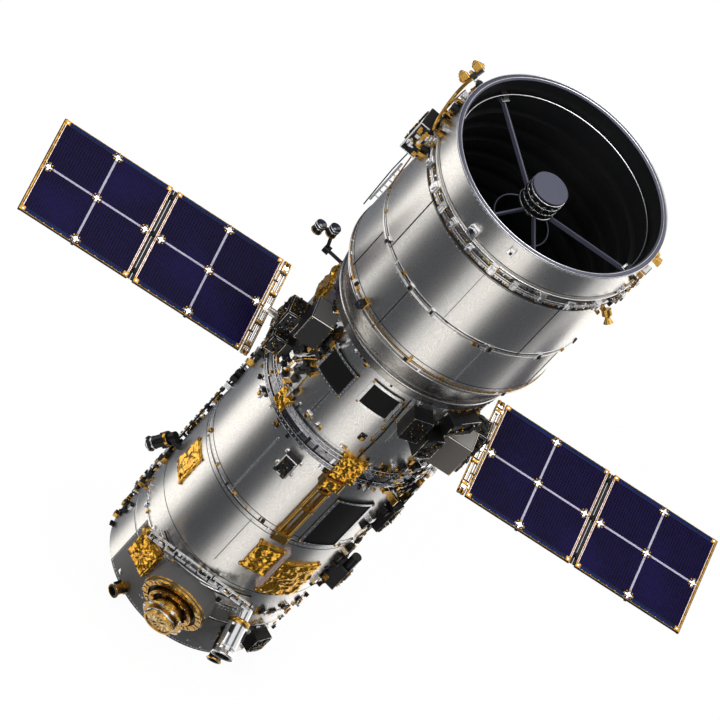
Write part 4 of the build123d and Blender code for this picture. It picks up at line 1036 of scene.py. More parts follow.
@dataclass
class Wing:
    """One solar wing's cells, strips and clips, on its inner or outer panel."""

    side: str
    sign: int
    root: float = 2.44
    length: float = 2.27
    width: float = 2.156
    gap: float = 0.12
    face: float = 0.022
    pitch: float = 78.0
    height: float = SHAFT_HEIGHT
    border: float = 0.097
    strip: float = 0.042
    clip: float = 0.21

    def plane(self) -> Frames:
        """The wing's own place: X outwards along it and Z out of its cells."""
        tilt = math.radians(self.pitch)
        return facing((0, 0, self.height), (self.sign, 0, 0), (0, -math.cos(tilt), math.sin(tilt)))

    def spots(self, x: ArrayLike, y: ArrayLike, z: float = 0.0) -> Frames:
        """Places on the face.

        Args:
            x: distances from the tube's axis.
            y: distances from the middle line.
            z: above the face.

        Returns:
            One place for each.
        """
        x, y = np.broadcast_arrays(np.atleast_1d(np.asarray(x, float)), y)
        home = self.plane()
        base = Frames(np.repeat(home.origin, len(x), 0), np.repeat(home.axes, len(x), 0))
        return base.moved(x, y, self.face + z)

    def sheet(self, x0: float, x1: float, y0: float, y1: float, rise: float) -> Shell:
        """A flat glass sheet on the face, with a UV map in metres.

        Args:
            x0: inner end.
            x1: outer end.
            y0: one side.
            y1: other side.
            rise: above the face.

        Returns:
            The sheet.
        """
        u, v = np.meshgrid((x0, x1), (y0, y1))
        local = np.stack([u, v, np.full(u.shape, self.face + rise)], axis=-1)
        points = self.plane().spread(local.reshape(-1, 3)).reshape(1, 2, 2, 3)
        return grid(points, uv=np.stack([u - x0, v - y0], axis=-1))

    def cells(self, start: float) -> Shell:
        """Four fields of cells between the strips, and the border strips along the long sides.

        Args:
            start: the panel's inner end.

        Returns:
            Cells with finish 0 and borders with finish 1.
        """
        half, middle = self.width / 2, start + self.length / 2
        inset = half - self.border
        fields = [self.sheet(x0, x1, y0, y1, 0.003) for x0,
                  x1 in ((start + 0.05, middle), (middle, start + self.length - 0.05))
                  for y0, y1 in ((-inset, 0.0), (0.0, inset))]
        edges = [self.sheet(start + 0.05, start + self.length - 0.05, y0, y1, 0.0035).toned(1)
                 for y0, y1 in ((-half + 0.025, -inset - 0.012), (inset + 0.012, half - 0.025))]
        shells = fields + edges
        whole = joined(*shells)
        whole.uv = np.concatenate([s.uv for s in shells])
        return whole

    def strips(self, start: float) -> Shell:
        """Braided strips across the panel, thin lines by the borders and gold edges.

        Args:
            start: the panel's inner end.

        Returns:
            Finishes: 0 braid, 1 tape, 2 brass, 3 board.
        """
        half, middle = self.width / 2, start + self.length / 2
        end = start + self.length
        outer = start > self.root + self.length
        hinge = start - 0.027 if outer else end + 0.027
        parts = [
            boxes(self.spots(middle, 0.0, 0.0), (self.length, self.strip, 0.009), 0.002, 0),
            boxes(self.spots(middle, 0.0, 0.0), (self.strip, self.width - 0.05, 0.009), 0.002, 0),
            boxes(self.spots(middle, (1 - 2 * np.arange(2)) * (half - self.border)),
                  (self.length, 0.01, 0.008), 0.002, 3),
            boxes(self.spots(middle, (1 - 2 * np.arange(2)) * (half - 0.012)), (self.length, 0.024, 0.008),
                  0.002, 3),
            boxes(self.spots(middle, (1 - 2 * np.arange(2)) * (half - 0.006)), (self.length, 0.008, 0.01),
                  0.002, 2),
            boxes(self.spots((start + 0.035, end - 0.035), 0.0), (0.014, self.width - 0.06, 0.01), 0.003, 1),
            boxes(self.spots((start + 0.008, end - 0.008), 0.0), (0.016, self.width, 0.01), 0.003,
                  (1, 2) if outer else (2, 1)),
            boxes(self.spots(hinge, 0.0, -0.034), (0.054, self.width - 0.04, 0.026), 0.004, 3),
        ]
        if outer:
            parts.append(boxes(self.spots(end, 0.0, -0.05), (0.05, self.width + 0.012, 0.054), 0.006, 3))
            parts.append(boxes(self.spots(end, 0.0, 0.004), (0.026, self.width, 0.006), 0.002, 2))
        return joined(*parts)

    def clips(self, start: float) -> Shell:
        """Plus-shaped clips where strips cross and end, and small ones along the edges.

        Args:
            start: the panel's inner end.

        Returns:
            Clips with finish 0 for bars and 1 for pads.
        """
        half, middle, end = self.width / 2, start + self.length / 2, start + self.length
        large = self.spots((middle, middle, middle, start + 0.11, end - 0.11),
                           (0.0, -half + 0.105, half - 0.105, 0.0, 0.0), 0.004)
        corners = self.spots((start + 0.05, start + 0.05, end - 0.05, end - 0.05),
                             (-half + 0.05, half - 0.05, -half + 0.05, half - 0.05), 0.004)
        along = np.linspace(start + 0.15, end - 0.15, 12)
        side = self.spots(np.tile(along, 2), np.repeat((-half + 0.012, half - 0.012), len(along)), 0.006)
        across = np.linspace(-half + 0.12, half - 0.12, 12)
        ends = self.spots(np.repeat((start + 0.02, end - 0.02), len(across)), np.tile(across, 2), 0.006)
        return joined(clamps(large, self.clip, 0.02), boxes(corners, (0.1, 0.1, 0.014), 0.004, 1),
                      rivets(corners.moved(z=0.014), 0.02, 0.004),
                      boxes(side, (0.03, 0.02, 0.012), 0.003, 1),
                      boxes(ends, (0.022, 0.035, 0.013), 0.003, 1))

    def build(self) -> None:
        """Place both panels' faces and the yoke's clamps."""
        for part, start in (("inner", self.root), ("outer", self.root + self.length + self.gap)):
            body = f"wing_{self.side}" if part == "inner" else f"outer_wing_{self.side}"
            place(f"{part}_cells_{self.side}", self.cells(start), (CELL, BORDER), body)
            place(f"{part}_strips_{self.side}", self.strips(start), (BRAID, TAPE, BRASS, BOARD),
                  body)
            place(f"{part}_clips_{self.side}", self.clips(start), (STEEL, BRASS), body)
        place(f"yoke_gear_{self.side}", self.yoke(), (BRASS, STEEL, BLACK_PAINT),
              f"wing_{self.side}")

    def yoke(self) -> Shell:
        """Gold clamps and end caps on the yoke's two bright tubes."""
        half = self.width / 2
        tube, spread, radius = 2.3, 0.072, 0.026
        home = self.spots((tube, tube + spread), 0.0, -self.face)
        caps = [lathes(home.moved(y=stop).tipped(0, -90),
                       [(radius, -0.04), (radius + 0.014, -0.035), (radius + 0.014, 0.03),
                                                          (radius * 0.7, 0.034)], 16)
                                                          for stop in (-half + 0.04, half - 0.034)]
        blocks = self.spots(tube + spread / 2, np.array((-0.86, -0.34, 0.34, 0.86)), -0.004)
        ties = self.spots(tube + spread + 0.03, np.array((-0.6, 0.0, 0.6)), -0.02)
        rods = self.spots((tube - 0.036, tube + spread + 0.034), 0.0, -0.012)
        return joined(*caps, boxes(blocks, (0.15, 0.075, 0.034), 0.008, 0),
                      rivets(blocks.each((0.045, 0, 0.034), (-0.045, 0, 0.034)), 0.016, 0.008).toned(1),
                      boxes(blocks.moved(y=0.055), (0.12, 0.03, 0.026), 0.005, 2),
                      boxes(ties, (0.1, 0.035, 0.03), 0.005, 2),
                      boxes(rods, (0.02, self.width - 0.1, 0.02), 0.004, 0))


def slab(low: float, high: float, start: float, end: float, bottom: float, top: float,
         steps: int = 10) -> Shell:
    """A curved block on the tube: a rectangle of radius and height carried between two angles.

    Args:
        low: inner radius.
        high: outer radius.
        start: first angle in degrees.
        end: last angle in degrees.
        bottom: lower edge.
        top: upper edge.
        steps: places along the curve.

    Returns:
        The block.
    """
    turn = np.linspace(start, end, steps)
    loop = [wall(turn, r, z).origin for r, z in ((high, top), (high, bottom), (low, bottom), (low, top))]
    shell = grid(np.stack(loop, axis=1)[None], closed=True)
    last = 4 * (steps - 1) + np.arange(4)
    shell.faces.append(np.stack([last, np.arange(4)[::-1]]))
    shell.tones.append(np.zeros(2, int))
    return shell


def blanket(home: Frames, width: float, length: float, depth: float, seed: int, bend: float = 0.0,
            pitch: float = 0.13, rise: float = 0.02, star: float = 0.0) -> Shell:
    """A crumpled foil blanket over a box or a curved plate.

    Its height is the depth plus triangle waves, falling to the wall at the four sides. A bend
    radius wraps it round the tube; a star adds folds that run out from the middle.

    Args:
        home: the place of its middle on the wall.
        width: along the first axis.
        length: along the second axis.
        depth: of what it covers.
        seed: of the folds.
        bend: radius of the wall under it, or zero for a flat one.
        pitch: between folds.
        rise: height of the folds.
        star: height of the folds from the middle.

    Returns:
        The blanket.
    """
    step = 0.022
    cols, rows = max(8, round(width / step)), max(8, round(length / step))
    u, v = np.meshgrid(np.linspace(-0.5, 0.5, cols), np.linspace(-0.5, 0.5, rows))
    x, y = u * (width + 0.024), v * (length + 0.024)
    fold = rise * creases(x, y, seed, pitch) + 0.4 * rise * creases(x, y, seed + 1, pitch / 2.6)
    ray = np.arctan2(y, x) / (2 * np.pi)
    fold = fold + star * (np.abs((13 * ray) % 1.0 - 0.5) * 4 - 1) * np.minimum(1.0, 4 * np.hypot(u, v))
    side = np.minimum(0.5 - np.abs(u), 0.5 - np.abs(v)) * min(cols, rows)
    rim = np.clip(side / 2.2, 0.0, 1.0) ** 0.6
    z = rim * (depth + rise + 0.004 + fold) - 0.012
    if bend:
        turn = x / bend
        x, z = (bend + z) * np.sin(turn), (bend + z) * np.cos(turn) - bend
    local = np.stack([x, y, z], axis=-1)
    return grid(home.spread(local.reshape(-1, 3)).reshape(1, rows, cols, 3))


def lid_gear(places: Frames, width: float, length: float, seed: int, bar: float = 0.007) -> Shell:
    """What the lid of an equipment box carries: an edge bar, screws, connectors and dots of gold.

    Args:
        places: the middles of the lids.
        width: along the first axis.
        length: along the second axis.
        seed: of the connectors.
        bar: width of the edge bar.

    Returns:
        Finishes: 0 silver, 1 gold, 2 black.
    """
    count, large, small = len(places.origin), 9, 22
    mix = np.random.default_rng(seed)
    spots = mix.uniform(-0.4, 0.4, (large + small, 2)) * (width, length)
    many = places.each(*((float(x), float(y), -0.003) for x, y in spots))
    size = np.concatenate([mix.uniform((0.04, 0.04, 0.012), (0.34 * width, 0.26 * length, 0.05),
                                       (large * count, 3)),
                           mix.uniform((0.01, 0.01, 0.012), (0.028, 0.03, 0.06), (small * count, 3))])
    tone = np.concatenate([np.full(large * count, 2), mix.choice(3, small * count, p=(0.2, 0.45, 0.35))])
    rail = np.linspace(-0.44, 0.44, 6)
    screws = places.each(*((s * 0.47 * width, float(t) * length, 0.0) for s in (-1, 1) for t in rail))
    return joined(frame_bars(places.moved(z=-0.004), width - 2.2 * bar, length - 2.2 * bar, bar, 0.008, 0),
                  rivets(screws, 0.011, 0.01).toned(1), boxes(many, size, 0.005, tone))


@dataclass
class Boxes:
    """Equipment boxes on the wall: bright edge bars, screws and connectors."""

    # Angle, wall radius, height of the middle, width, length, depth
    TABLE = (
        (-107.0, AFT_RADIUS, Z_FLANGE - 0.55, 0.29, 0.48, 0.14),
        (168.0, FORE_RADIUS, Z_CLIP - 0.48, 0.48, 0.76, 0.33),
        (-26.0, AFT_RADIUS, Z_UPPER + 0.95, 0.30, 0.70, 0.22),
        (-40.0, AFT_RADIUS, Z_BAY + 0.62, 0.38, 0.42, 0.23),
        (-70.5, AFT_RADIUS, Z_SKIRT - 0.5, 0.40, 0.62, 0.30),
        (-57.0, AFT_RADIUS, Z_SKIRT - 0.89, 0.38, 0.56, 0.33),
        (-45.5, AFT_RADIUS, Z_SKIRT - 0.33, 0.62, 0.40, 0.26),
        (-18.0, AFT_RADIUS, Z_LOWER + 1.15, 0.28, 0.62, 0.32),
    )

    def lids(self) -> Shell:
        """Gear on every lid."""
        return joined(*(lid_gear(wall(a, r + d, z), w, n, seed) for seed,
                        (a, r, z, w, n, d) in enumerate(self.TABLE)))

    def side_gear(self) -> Shell:
        """Edge bars and connectors on the near side of the box under the clip ring."""
        mix = np.random.default_rng(31)
        side = wall(168.0, FORE_RADIUS + 0.165, Z_CLIP - 0.48).moved(x=0.24).tipped(1, 90)
        spots = side.each(*zip(mix.uniform(-0.12, 0.12, 34), mix.uniform(-0.33, 0.33, 34), np.zeros(34)))
        return joined(frame_bars(side, 0.3, 0.72, 0.022, 0.012),
                      clutter(spots, 32, (0.03, 0.03, 0.012), (0.09, 0.14, 0.03), (0.3, 0.4, 0.3)))

    def feet(self) -> Shell:
        """The silver frame of the small black box and feet round the boxes."""
        small = wall(-107.0, AFT_RADIUS + 0.138, Z_FLANGE - 0.55)
        parts = [frame_bars(small, 0.26, 0.45, 0.022, 0.012)]
        for angle, radius, height, width, length, _ in self.TABLE:
            corners = corner_places(wall(angle, radius - 0.012, height), width + 0.05, length - 0.12)
            parts.append(boxes(corners, (0.06, 0.08, 0.03), 0.006, 0))
            parts.append(rivets(corners.moved(z=0.03), 0.016).toned(1))
        return joined(*parts)

    def build(self) -> None:
        """Place the gear."""
        finishes = SILVER_FIRST
        place("box_lids", joined(self.lids(), self.side_gear()), finishes)
        place("box_feet", self.feet(), (MACHINED, GOLD_PLATE))


@dataclass
class Cubes:
    """The two large equipment cubes beside the drives, with bright bevels."""

    bevel: float = 0.009

    def cube(self, node: str, coat: Finish, lid: Finish) -> None:
        """Stand in for one packed cube.

        Args:
            node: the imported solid.
            coat: finish of its sides.
            lid: finish of its upper side.
        """
        low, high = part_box(node)
        size = high - low
        middle = (low + high) / 2
        foot = facing((middle.x, middle.y, low.z), (1, 0, 0), (0, 0, 1))
        near = facing((middle.x, low.y, middle.z), (1, 0, 0), (0, -1, 0))
        top = facing((middle.x, middle.y, high.z), (1, 0, 0), (0, 0, 1))
        edge = 0.07
        shell = joined(
            boxes(foot, tuple(size), self.bevel, 0, 1),
            boxes(top.moved(z=-0.002), (size.x - 0.05, size.y - 0.05, 0.006), 0.002, 3),
            rivets(corner_places(near, size.x - edge, size.z - edge), 0.015, 0.012).toned(2),
            rivets(corner_places(top.moved(z=0.004), size.x - 1.4 * edge, size.y - 1.4 * edge), 0.013,
                   0.01).toned(2),
            rivets(near.each(*((0.45 * size.x * s, 0.3 * size.z * t, 0.0) for s in (-1, 1)
                               for t in (-1, 0, 1))), 0.01).toned(2),
        )
        place(f"{node}_coat", shell, (coat, MACHINED, GOLD_PLATE, lid), replaces=(node,))

    def build(self) -> None:
        """Place both cubes."""
        self.cube("cube_right", TAUPE, PALE_GREY)
        self.cube("cube_left", BLACK_PAINT, GREY_PAINT)


@dataclass
class DriveGear:
    """Screws, edge bars, clamps and cables on one wing drive."""

    side: str
    sign: int
    shaft: float = SHAFT_HEIGHT
    seed: int = 0

    # Near-side blocks: from, to across; from, to along the tube; reach
    BLOCKS = ((0.18, 0.64, 0.29, 0.85, 2.162), (0.34, 0.78, -0.11, 0.30, 2.107))

    def faces(self) -> Shell:
        """Gear on the blocks' outer, upper and near sides."""
        parts = []
        for index, (near, far, low, high, reach) in enumerate(self.BLOCKS):
            y, z = -(near + far) / 2, self.shaft + (low + high) / 2
            out = facing((self.sign * reach, y, z), (0, self.sign, 0), (self.sign, 0, 0))
            upper = facing((self.sign * (reach - 0.17), y, self.shaft + high), (1, 0, 0), (0, 0, 1))
            front = facing((self.sign * (reach - 0.17), -far, z), (1, 0, 0), (0, -1, 0))
            seed = self.seed + 3 * index
            parts += [lid_gear(out, far - near - 0.03, high - low - 0.03, seed),
                      lid_gear(upper, 0.28, far - near - 0.03, seed + 1),
                      lid_gear(front, 0.28, high - low - 0.03, seed + 2)]
        return joined(*parts)

    def bearing(self) -> Shell:
        """Bolts and bright rings round the shaft's bearing, and clamps on the housing."""
        hub = facing((self.sign * 2.11, 0, self.shaft), (0, 1, 0), (self.sign, 0, 0))
        shoulder = hub.moved(z=-0.06)
        return joined(
            rivets(circle(hub, 12, 0.155), 0.014, 0.012).toned(1),
            lathes(hub, [(0.192, -0.05), (0.198, -0.045), (0.198, -0.015), (0.192, -0.01)], 48, False),
            boxes(circle(shoulder, 8, 0.25), (0.07, 0.06, 0.03), 0.006, 2),
            rivets(circle(shoulder, 8, 0.25, 0.03), 0.016, 0.01).toned(1),
        )

    def cables(self) -> Shell:
        """Cables from the drive to the wall, with gold and silver clamps."""
        turn = -27.0 if self.sign > 0 else -153.0
        away = -self.sign
        stops = [((turn + away * a, self.shaft + z0, 0.02),
                  (turn + away * (a + 6), self.shaft + (z0 + z1) / 2, 0.1),
                  (turn + away * (a + 14), self.shaft + z1, 0.02))
                 for a, z0, z1 in ((2, 0.5, 1.2), (5, 0.2, 0.95), (0, -0.1, -0.2), (9, 0.6, 1.4),
                                   (3, 1.0, 1.7))]
        lines = [tubes(run(AFT_RADIUS, *s), 0.016 if i % 2 else 0.022).toned((2, 1, 0, 2, 1)[i]) for i,
                 s in enumerate(stops)]
        spots = sown(self.seed + 40, 52, tuple(sorted((turn + away * 1, turn + away * 24))),
                     (self.shaft - 0.15, self.shaft + 1.75), AFT_SEAT)
        return joined(*lines, clutter(spots, self.seed + 41, (0.03, 0.04, 0.03), (0.14, 0.16, 0.14),
                                      (0.22, 0.26, 0.52)))

    def build(self) -> None:
        """Place the gear."""
        finishes = SILVER_FIRST
        place(f"drive_faces_{self.side}", self.faces(), finishes)
        place(f"drive_bearing_{self.side}", self.bearing(), finishes)
        place(f"drive_cables_{self.side}", self.cables(), finishes)


@dataclass
class Radiators:
    """Bright frames, screws and pipes of the radiators."""

    rise: float = 0.048
    rail: float = 0.055

    # Start and end angle, bottom, top
    TABLE = ((-134.0, -111.0, Z_SKIRT - 1.1, Z_SKIRT - 0.4), (-104.0, -83.0, Z_SKIRT - 0.85, Z_SKIRT - 0.19),
             (-71.0, -46.0, Z_UPPER + 0.05, Z_FLANGE - 0.65))

    def frames(self) -> Shell:
        """A bright frame on each radiator, with gold screws at its corners and bolts along it."""
        parts = []
        low, high = AFT_RADIUS + 0.03, AFT_RADIUS + self.rise
        for start, end, bottom, top in self.TABLE:
            inset = math.degrees(self.rail / AFT_RADIUS)
            parts += [slab(low, high, start, end, bottom, bottom + self.rail),
                      slab(low, high, start, end, top - self.rail, top),
                      slab(low, high, start, start + inset, bottom + self.rail, top - self.rail, 2),
                      slab(low, high, end - inset, end, bottom + self.rail, top - self.rail, 2)]
            angles = np.linspace(start + inset / 2, end - inset / 2, 9)
            heights = np.linspace(bottom + self.rail / 2, top - self.rail / 2, 9)
            edge = [wall(angles, high, z) for z in (heights[0], heights[-1])]
            edge += [wall(a, high, heights[1:-1]) for a in (angles[0], angles[-1])]
            parts += [rivets(row, 0.009).toned(2) for row in edge]
            corners = wall(angles[[0, 0, -1, -1]], high, heights[[0, -1, 0, -1]])
            parts.append(rivets(corners, 0.026, 0.016).toned(1))
        return joined(*parts)

    def pipes(self) -> Shell:
        """Pipes beside the right radiator and a gold one by the left cube."""
        low, high = Z_EQUIPMENT + 0.1, Z_SKIRT - 0.1
        paths = ((0.018, 1, ((-138.0, low + 0.7, 0.03), (-136.5, high - 0.5, 0.04), (-135.8, high, 0.03))),
                 (0.013, 2, ((-80.0, low, 0.02), (-79.0, low + 0.8, 0.02), (-80.5, high, 0.02))),
                 (0.015, 0, ((-81.6, low + 0.6, 0.02), (-81.4, high, 0.02))))
        clips = wall(-81.0, AFT_SEAT, np.linspace(low + 0.2, high - 0.2, 5))
        return joined(*(tubes(run(AFT_RADIUS, *stops), radius).toned(tone) for radius, tone, stops in paths),
                      boxes(clips, (0.1, 0.035, 0.05), 0.006, 1))

    def build(self) -> None:
        """Place frames and pipes."""
        place("radiator_frames", self.frames(), (MACHINED, GOLD_PLATE, STEEL))
        place("radiator_pipes", self.pipes(), (STEEL, GOLD_PLATE, BLACK_PAINT))


@dataclass
class FlangeGear:
    """What runs in the ring flange's groove, and its latches and lumps of foil."""

    groove: float = 1.802

    def rings(self) -> Shell:
        """A dark groove with pipes in it, and bright edges on both rings."""
        dark = [band(self.groove, Z_FLANGE + 0.115, Z_EQUIPMENT - 0.115, 0.004).toned(1)]
        pipes = [hoop(self.groove + 0.02, Z_FLANGE + h, 0.017).toned(t) for h,
                 t in ((0.155, 2), (0.2, 0), (0.29, 2))]
        edges = [hoop(FLANGE_RADIUS - 0.004, z, 0.008)
                 for z in (Z_FLANGE + 0.006, Z_FLANGE + 0.104, Z_EQUIPMENT - 0.104, Z_EQUIPMENT - 0.006)]
        return joined(*dark, *pipes, *edges)

    def gear(self) -> Shell:
        """Clips in the groove, bolts on the rings, latches and clutter."""
        clips = around(self.groove, Z_FLANGE + 0.22, 60)
        bolts = [rivets(around(FLANGE_RADIUS, z, 120), 0.012)
                 for z in (Z_FLANGE + 0.055, Z_EQUIPMENT - 0.055)]
        right = sown(31, 90, (-72.0, -4.0), (Z_FLANGE - 0.15, Z_EQUIPMENT + 0.2), AFT_RADIUS + 0.01)
        left = sown(32, 60, (156.0, 215.0), (Z_FLANGE - 0.2, Z_EQUIPMENT + 0.25), AFT_RADIUS + 0.01)
        latches = wall(np.array((-86.5, -151.0, -147.0, -118.0, -128.0)), AFT_RADIUS - 0.003,
                       np.array((7.17, 5.83, 6.98, 6.7, 5.95)))
        return joined(
            clutter(clips, 33, (0.04, 0.1, 0.04), (0.07, 0.19, 0.07), (0.3, 0.4, 0.3)), *bolts,
            clutter(right, 34, (0.03, 0.03, 0.05), (0.1, 0.11, 0.13), (0.34, 0.22, 0.44)),
            clutter(left, 35, (0.03, 0.03, 0.05), (0.1, 0.12, 0.15), (0.25, 0.4, 0.35)),
            boxes(latches, (0.13, 0.17, 0.035), 0.008, np.array((2, 0, 0, 0, 2))),
            boxes(latches.moved(z=0.035), (0.07, 0.09, 0.03), 0.006, 1),
            rivets(corner_places(latches.moved(z=0.035), 0.1, 0.13), 0.012),
        )

    def build(self) -> None:
        """Place the gear."""
        place("flange_rings", self.rings(), (MACHINED, BLACK_PAINT, STEEL))
        place("flange_gear", self.gear(), SILVER_FIRST)


@dataclass
class Foil:
    """Crumpled gold blankets over the plates and boxes that they wrap."""

    # Start and end angle, bottom, top, depth
    PATCHES = ((-165.0, -150.0, Z_LOWER + 1.2, Z_UPPER - 0.35, 0.045),
               (-88.0, -72.5, Z_LOWER + 1.2, Z_UPPER - 0.37, 0.06),
               (-69.0, -43.0, Z_LOWER + 0.72, Z_UPPER - 0.65, 0.06),
               (172.0, 189.0, Z_SKIRT - 0.88, Z_SKIRT - 0.18, 0.06))

    def patches(self) -> Shell:
        """The curved patches."""
        parts = []
        for seed, (start, end, bottom, top, depth) in enumerate(self.PATCHES):
            home = wall((start + end) / 2, AFT_RADIUS, (bottom + top) / 2)
            parts.append(blanket(home, math.radians(end - start) * AFT_RADIUS, top - bottom, depth,
                                 50 + 2 * seed, AFT_RADIUS,
                                 0.26, 0.03))
        return joined(*parts)

    def lumps(self) -> Shell:
        """The bay box with folds from its middle, the mast's head and the lump on the flange."""
        bay = wall(-101.0 - math.degrees((0.66 + 0.044 + 0.3) / AFT_RADIUS), AFT_RADIUS, Z_BAY + 1.08)
        return joined(blanket(bay, 0.60, 0.64, 0.12, 61, pitch=0.22, rise=0.018, star=0.026),
                      blanket(wall(-82.0, AFT_RADIUS, Z_FLANGE - 0.25), 0.42, 0.30, 0.16, 63, pitch=0.12,
                              rise=0.02),
                      blanket(wall(-80.0, AFT_RADIUS, Z_FLANGE + 0.2), 0.5, 0.62, 0.13, 65, pitch=0.13,
                              rise=0.028),
                      blanket(wall(-135.0, AFT_RADIUS, Z_FLANGE + 0.28), 0.34, 0.4, 0.1, 67, pitch=0.1,
                              rise=0.022))

    def straps(self) -> Shell:
        """Violet-silver straps between the patches, and gold pegs at the corners."""
        strap = slab(AFT_RADIUS - 0.002, AFT_RADIUS + 0.08, -72.2, -69.3, Z_LOWER + 0.9, Z_UPPER - 0.3, 4)
        pegs = [wall(np.array((s, s, e, e)), AFT_RADIUS + 0.02, np.array((b, t, b, t))) for s, e, b, t,
                _ in self.PATCHES]
        return joined(strap, *(rivets(p, 0.035, 0.03).toned(1) for p in pegs))

    def mast(self) -> Shell:
        """Clamps with silver screws across the mast's tubes, and a thin pipe beside each."""
        cross = wall(-82.0, AFT_RADIUS + 0.05, np.array((Z_UPPER + 0.12, Z_UPPER + 1.0, Z_FLANGE - 0.55)))
        pipes = [run(AFT_RADIUS, (-82.0 + s, Z_UPPER + 0.1, 0.03), (-82.0 + s, Z_FLANGE - 0.3, 0.03))
                 for s in (-1.3, 1.3)]
        return joined(boxes(cross, (0.29, 0.06, 0.09), 0.008, 1),
                      rivets(cross.each((0.12, 0, 0.09), (-0.12, 0, 0.09)), 0.02),
                      *(tubes(path, 0.014).toned(1) for path in pipes))

    def build(self) -> None:
        """Place the foil."""
        place("foil_patches", self.patches(), (GOLD_FOIL,))
        place("foil_lumps", self.lumps(), (GOLD_FOIL,))
        place("foil_straps", self.straps(), (TAPE, GOLD_PLATE))
        place("mast_clamps", self.mast(), (MACHINED, GOLD_PLATE))


@dataclass
class DockingPort:
    """Slots, bolts and folds of the docking port."""

    angle: float = -101.0
    cant: float = 18.0
    height: float = 1.05
    reach: float = 0.23

    def hub(self) -> Frames:
        """The port's own place, on the drum's face."""
        turn, tip = math.radians(self.angle), math.radians(self.cant)
        out = np.array((math.cos(turn), math.sin(turn), 0.0))
        origin = out * (AFT_RADIUS + self.reach) + (0, 0, Z_BAY + self.height)
        return facing(origin, (-math.sin(turn), math.cos(turn), 0),
                      out * math.cos(tip) - (0, 0, math.sin(tip)))

    def metal(self) -> Shell:
        """Dark slots across the outer ring, bolts on both rings and the drum's hoops."""
        hub = self.hub()
        return joined(
            boxes(circle(hub, 12, 0.588, 0.05), (0.125, 0.045, 0.014), 0.003, 1),
            boxes(circle(hub, 12, 0.588, 0.052, 15), (0.07, 0.11, 0.022), 0.006, 0),
            rivets(circle(hub, 24, 0.627, 0.06), 0.014, 0.012).toned(2),
            rivets(circle(hub, 24, 0.55, 0.06), 0.012, 0.01),
            lathes(hub, [(0.53, 0.0), (0.53, 0.008), (0.46, 0.008)], 72, False).toned(1),
            rivets(circle(hub, 18, 0.422, 0.13), 0.014, 0.012).toned(2),
            boxes(circle(hub, 6, 0.39, 0.1, 10), (0.08, 0.1, 0.06), 0.01, 0),
            lathes(hub, [(0.66, -0.05), (0.67, -0.045), (0.67, -0.015), (0.66, -0.01)], 72, False),
            boxes(circle(hub, 10, 0.4, 0.325, 7), (0.05, 0.07, 0.06), 0.008, 2),
            rivets(circle(hub, 20, 0.395, 0.375), 0.012, 0.01).toned(2),
            lathes(hub, [(0.302, 0.4), (0.312, 0.41), (0.312, 0.44), (0.302, 0.45)], 60, False).toned(2),
        )

    def folds(self) -> Shell:
        """The cap's lid: a creased disc, its height a triangle wave round the axis."""
        rings, turns = np.linspace(0.0, 1.0, 9), np.linspace(0.0, 2 * np.pi, 96, endpoint=False)
        share, turn = np.meshgrid(rings[::-1], turns, indexing="ij")
        wave = np.abs((turn * 9 / (2 * np.pi)) % 1.0 - 0.5) * 4 - 1
        radius = 0.002 + 0.256 * share
        fold = 0.009 * wave * np.sqrt(share) * (share < 0.99)
        ripple = 0.006 * np.sin(7 * turn + 9 * share) * (share < 0.99)
        height = 0.499 + fold + ripple
        local = np.stack([radius * np.cos(turn), radius * np.sin(turn), height], axis=-1)
        return grid(self.hub().spread(local.reshape(-1, 3)).reshape(1, len(rings), len(turns), 3),
                    closed=True)

    def build(self) -> None:
        """Place the port's details."""
        place("port_metal", self.metal(), GOLD_FIRST)
        place("port_lid", self.folds(), (PALE_FOIL,))


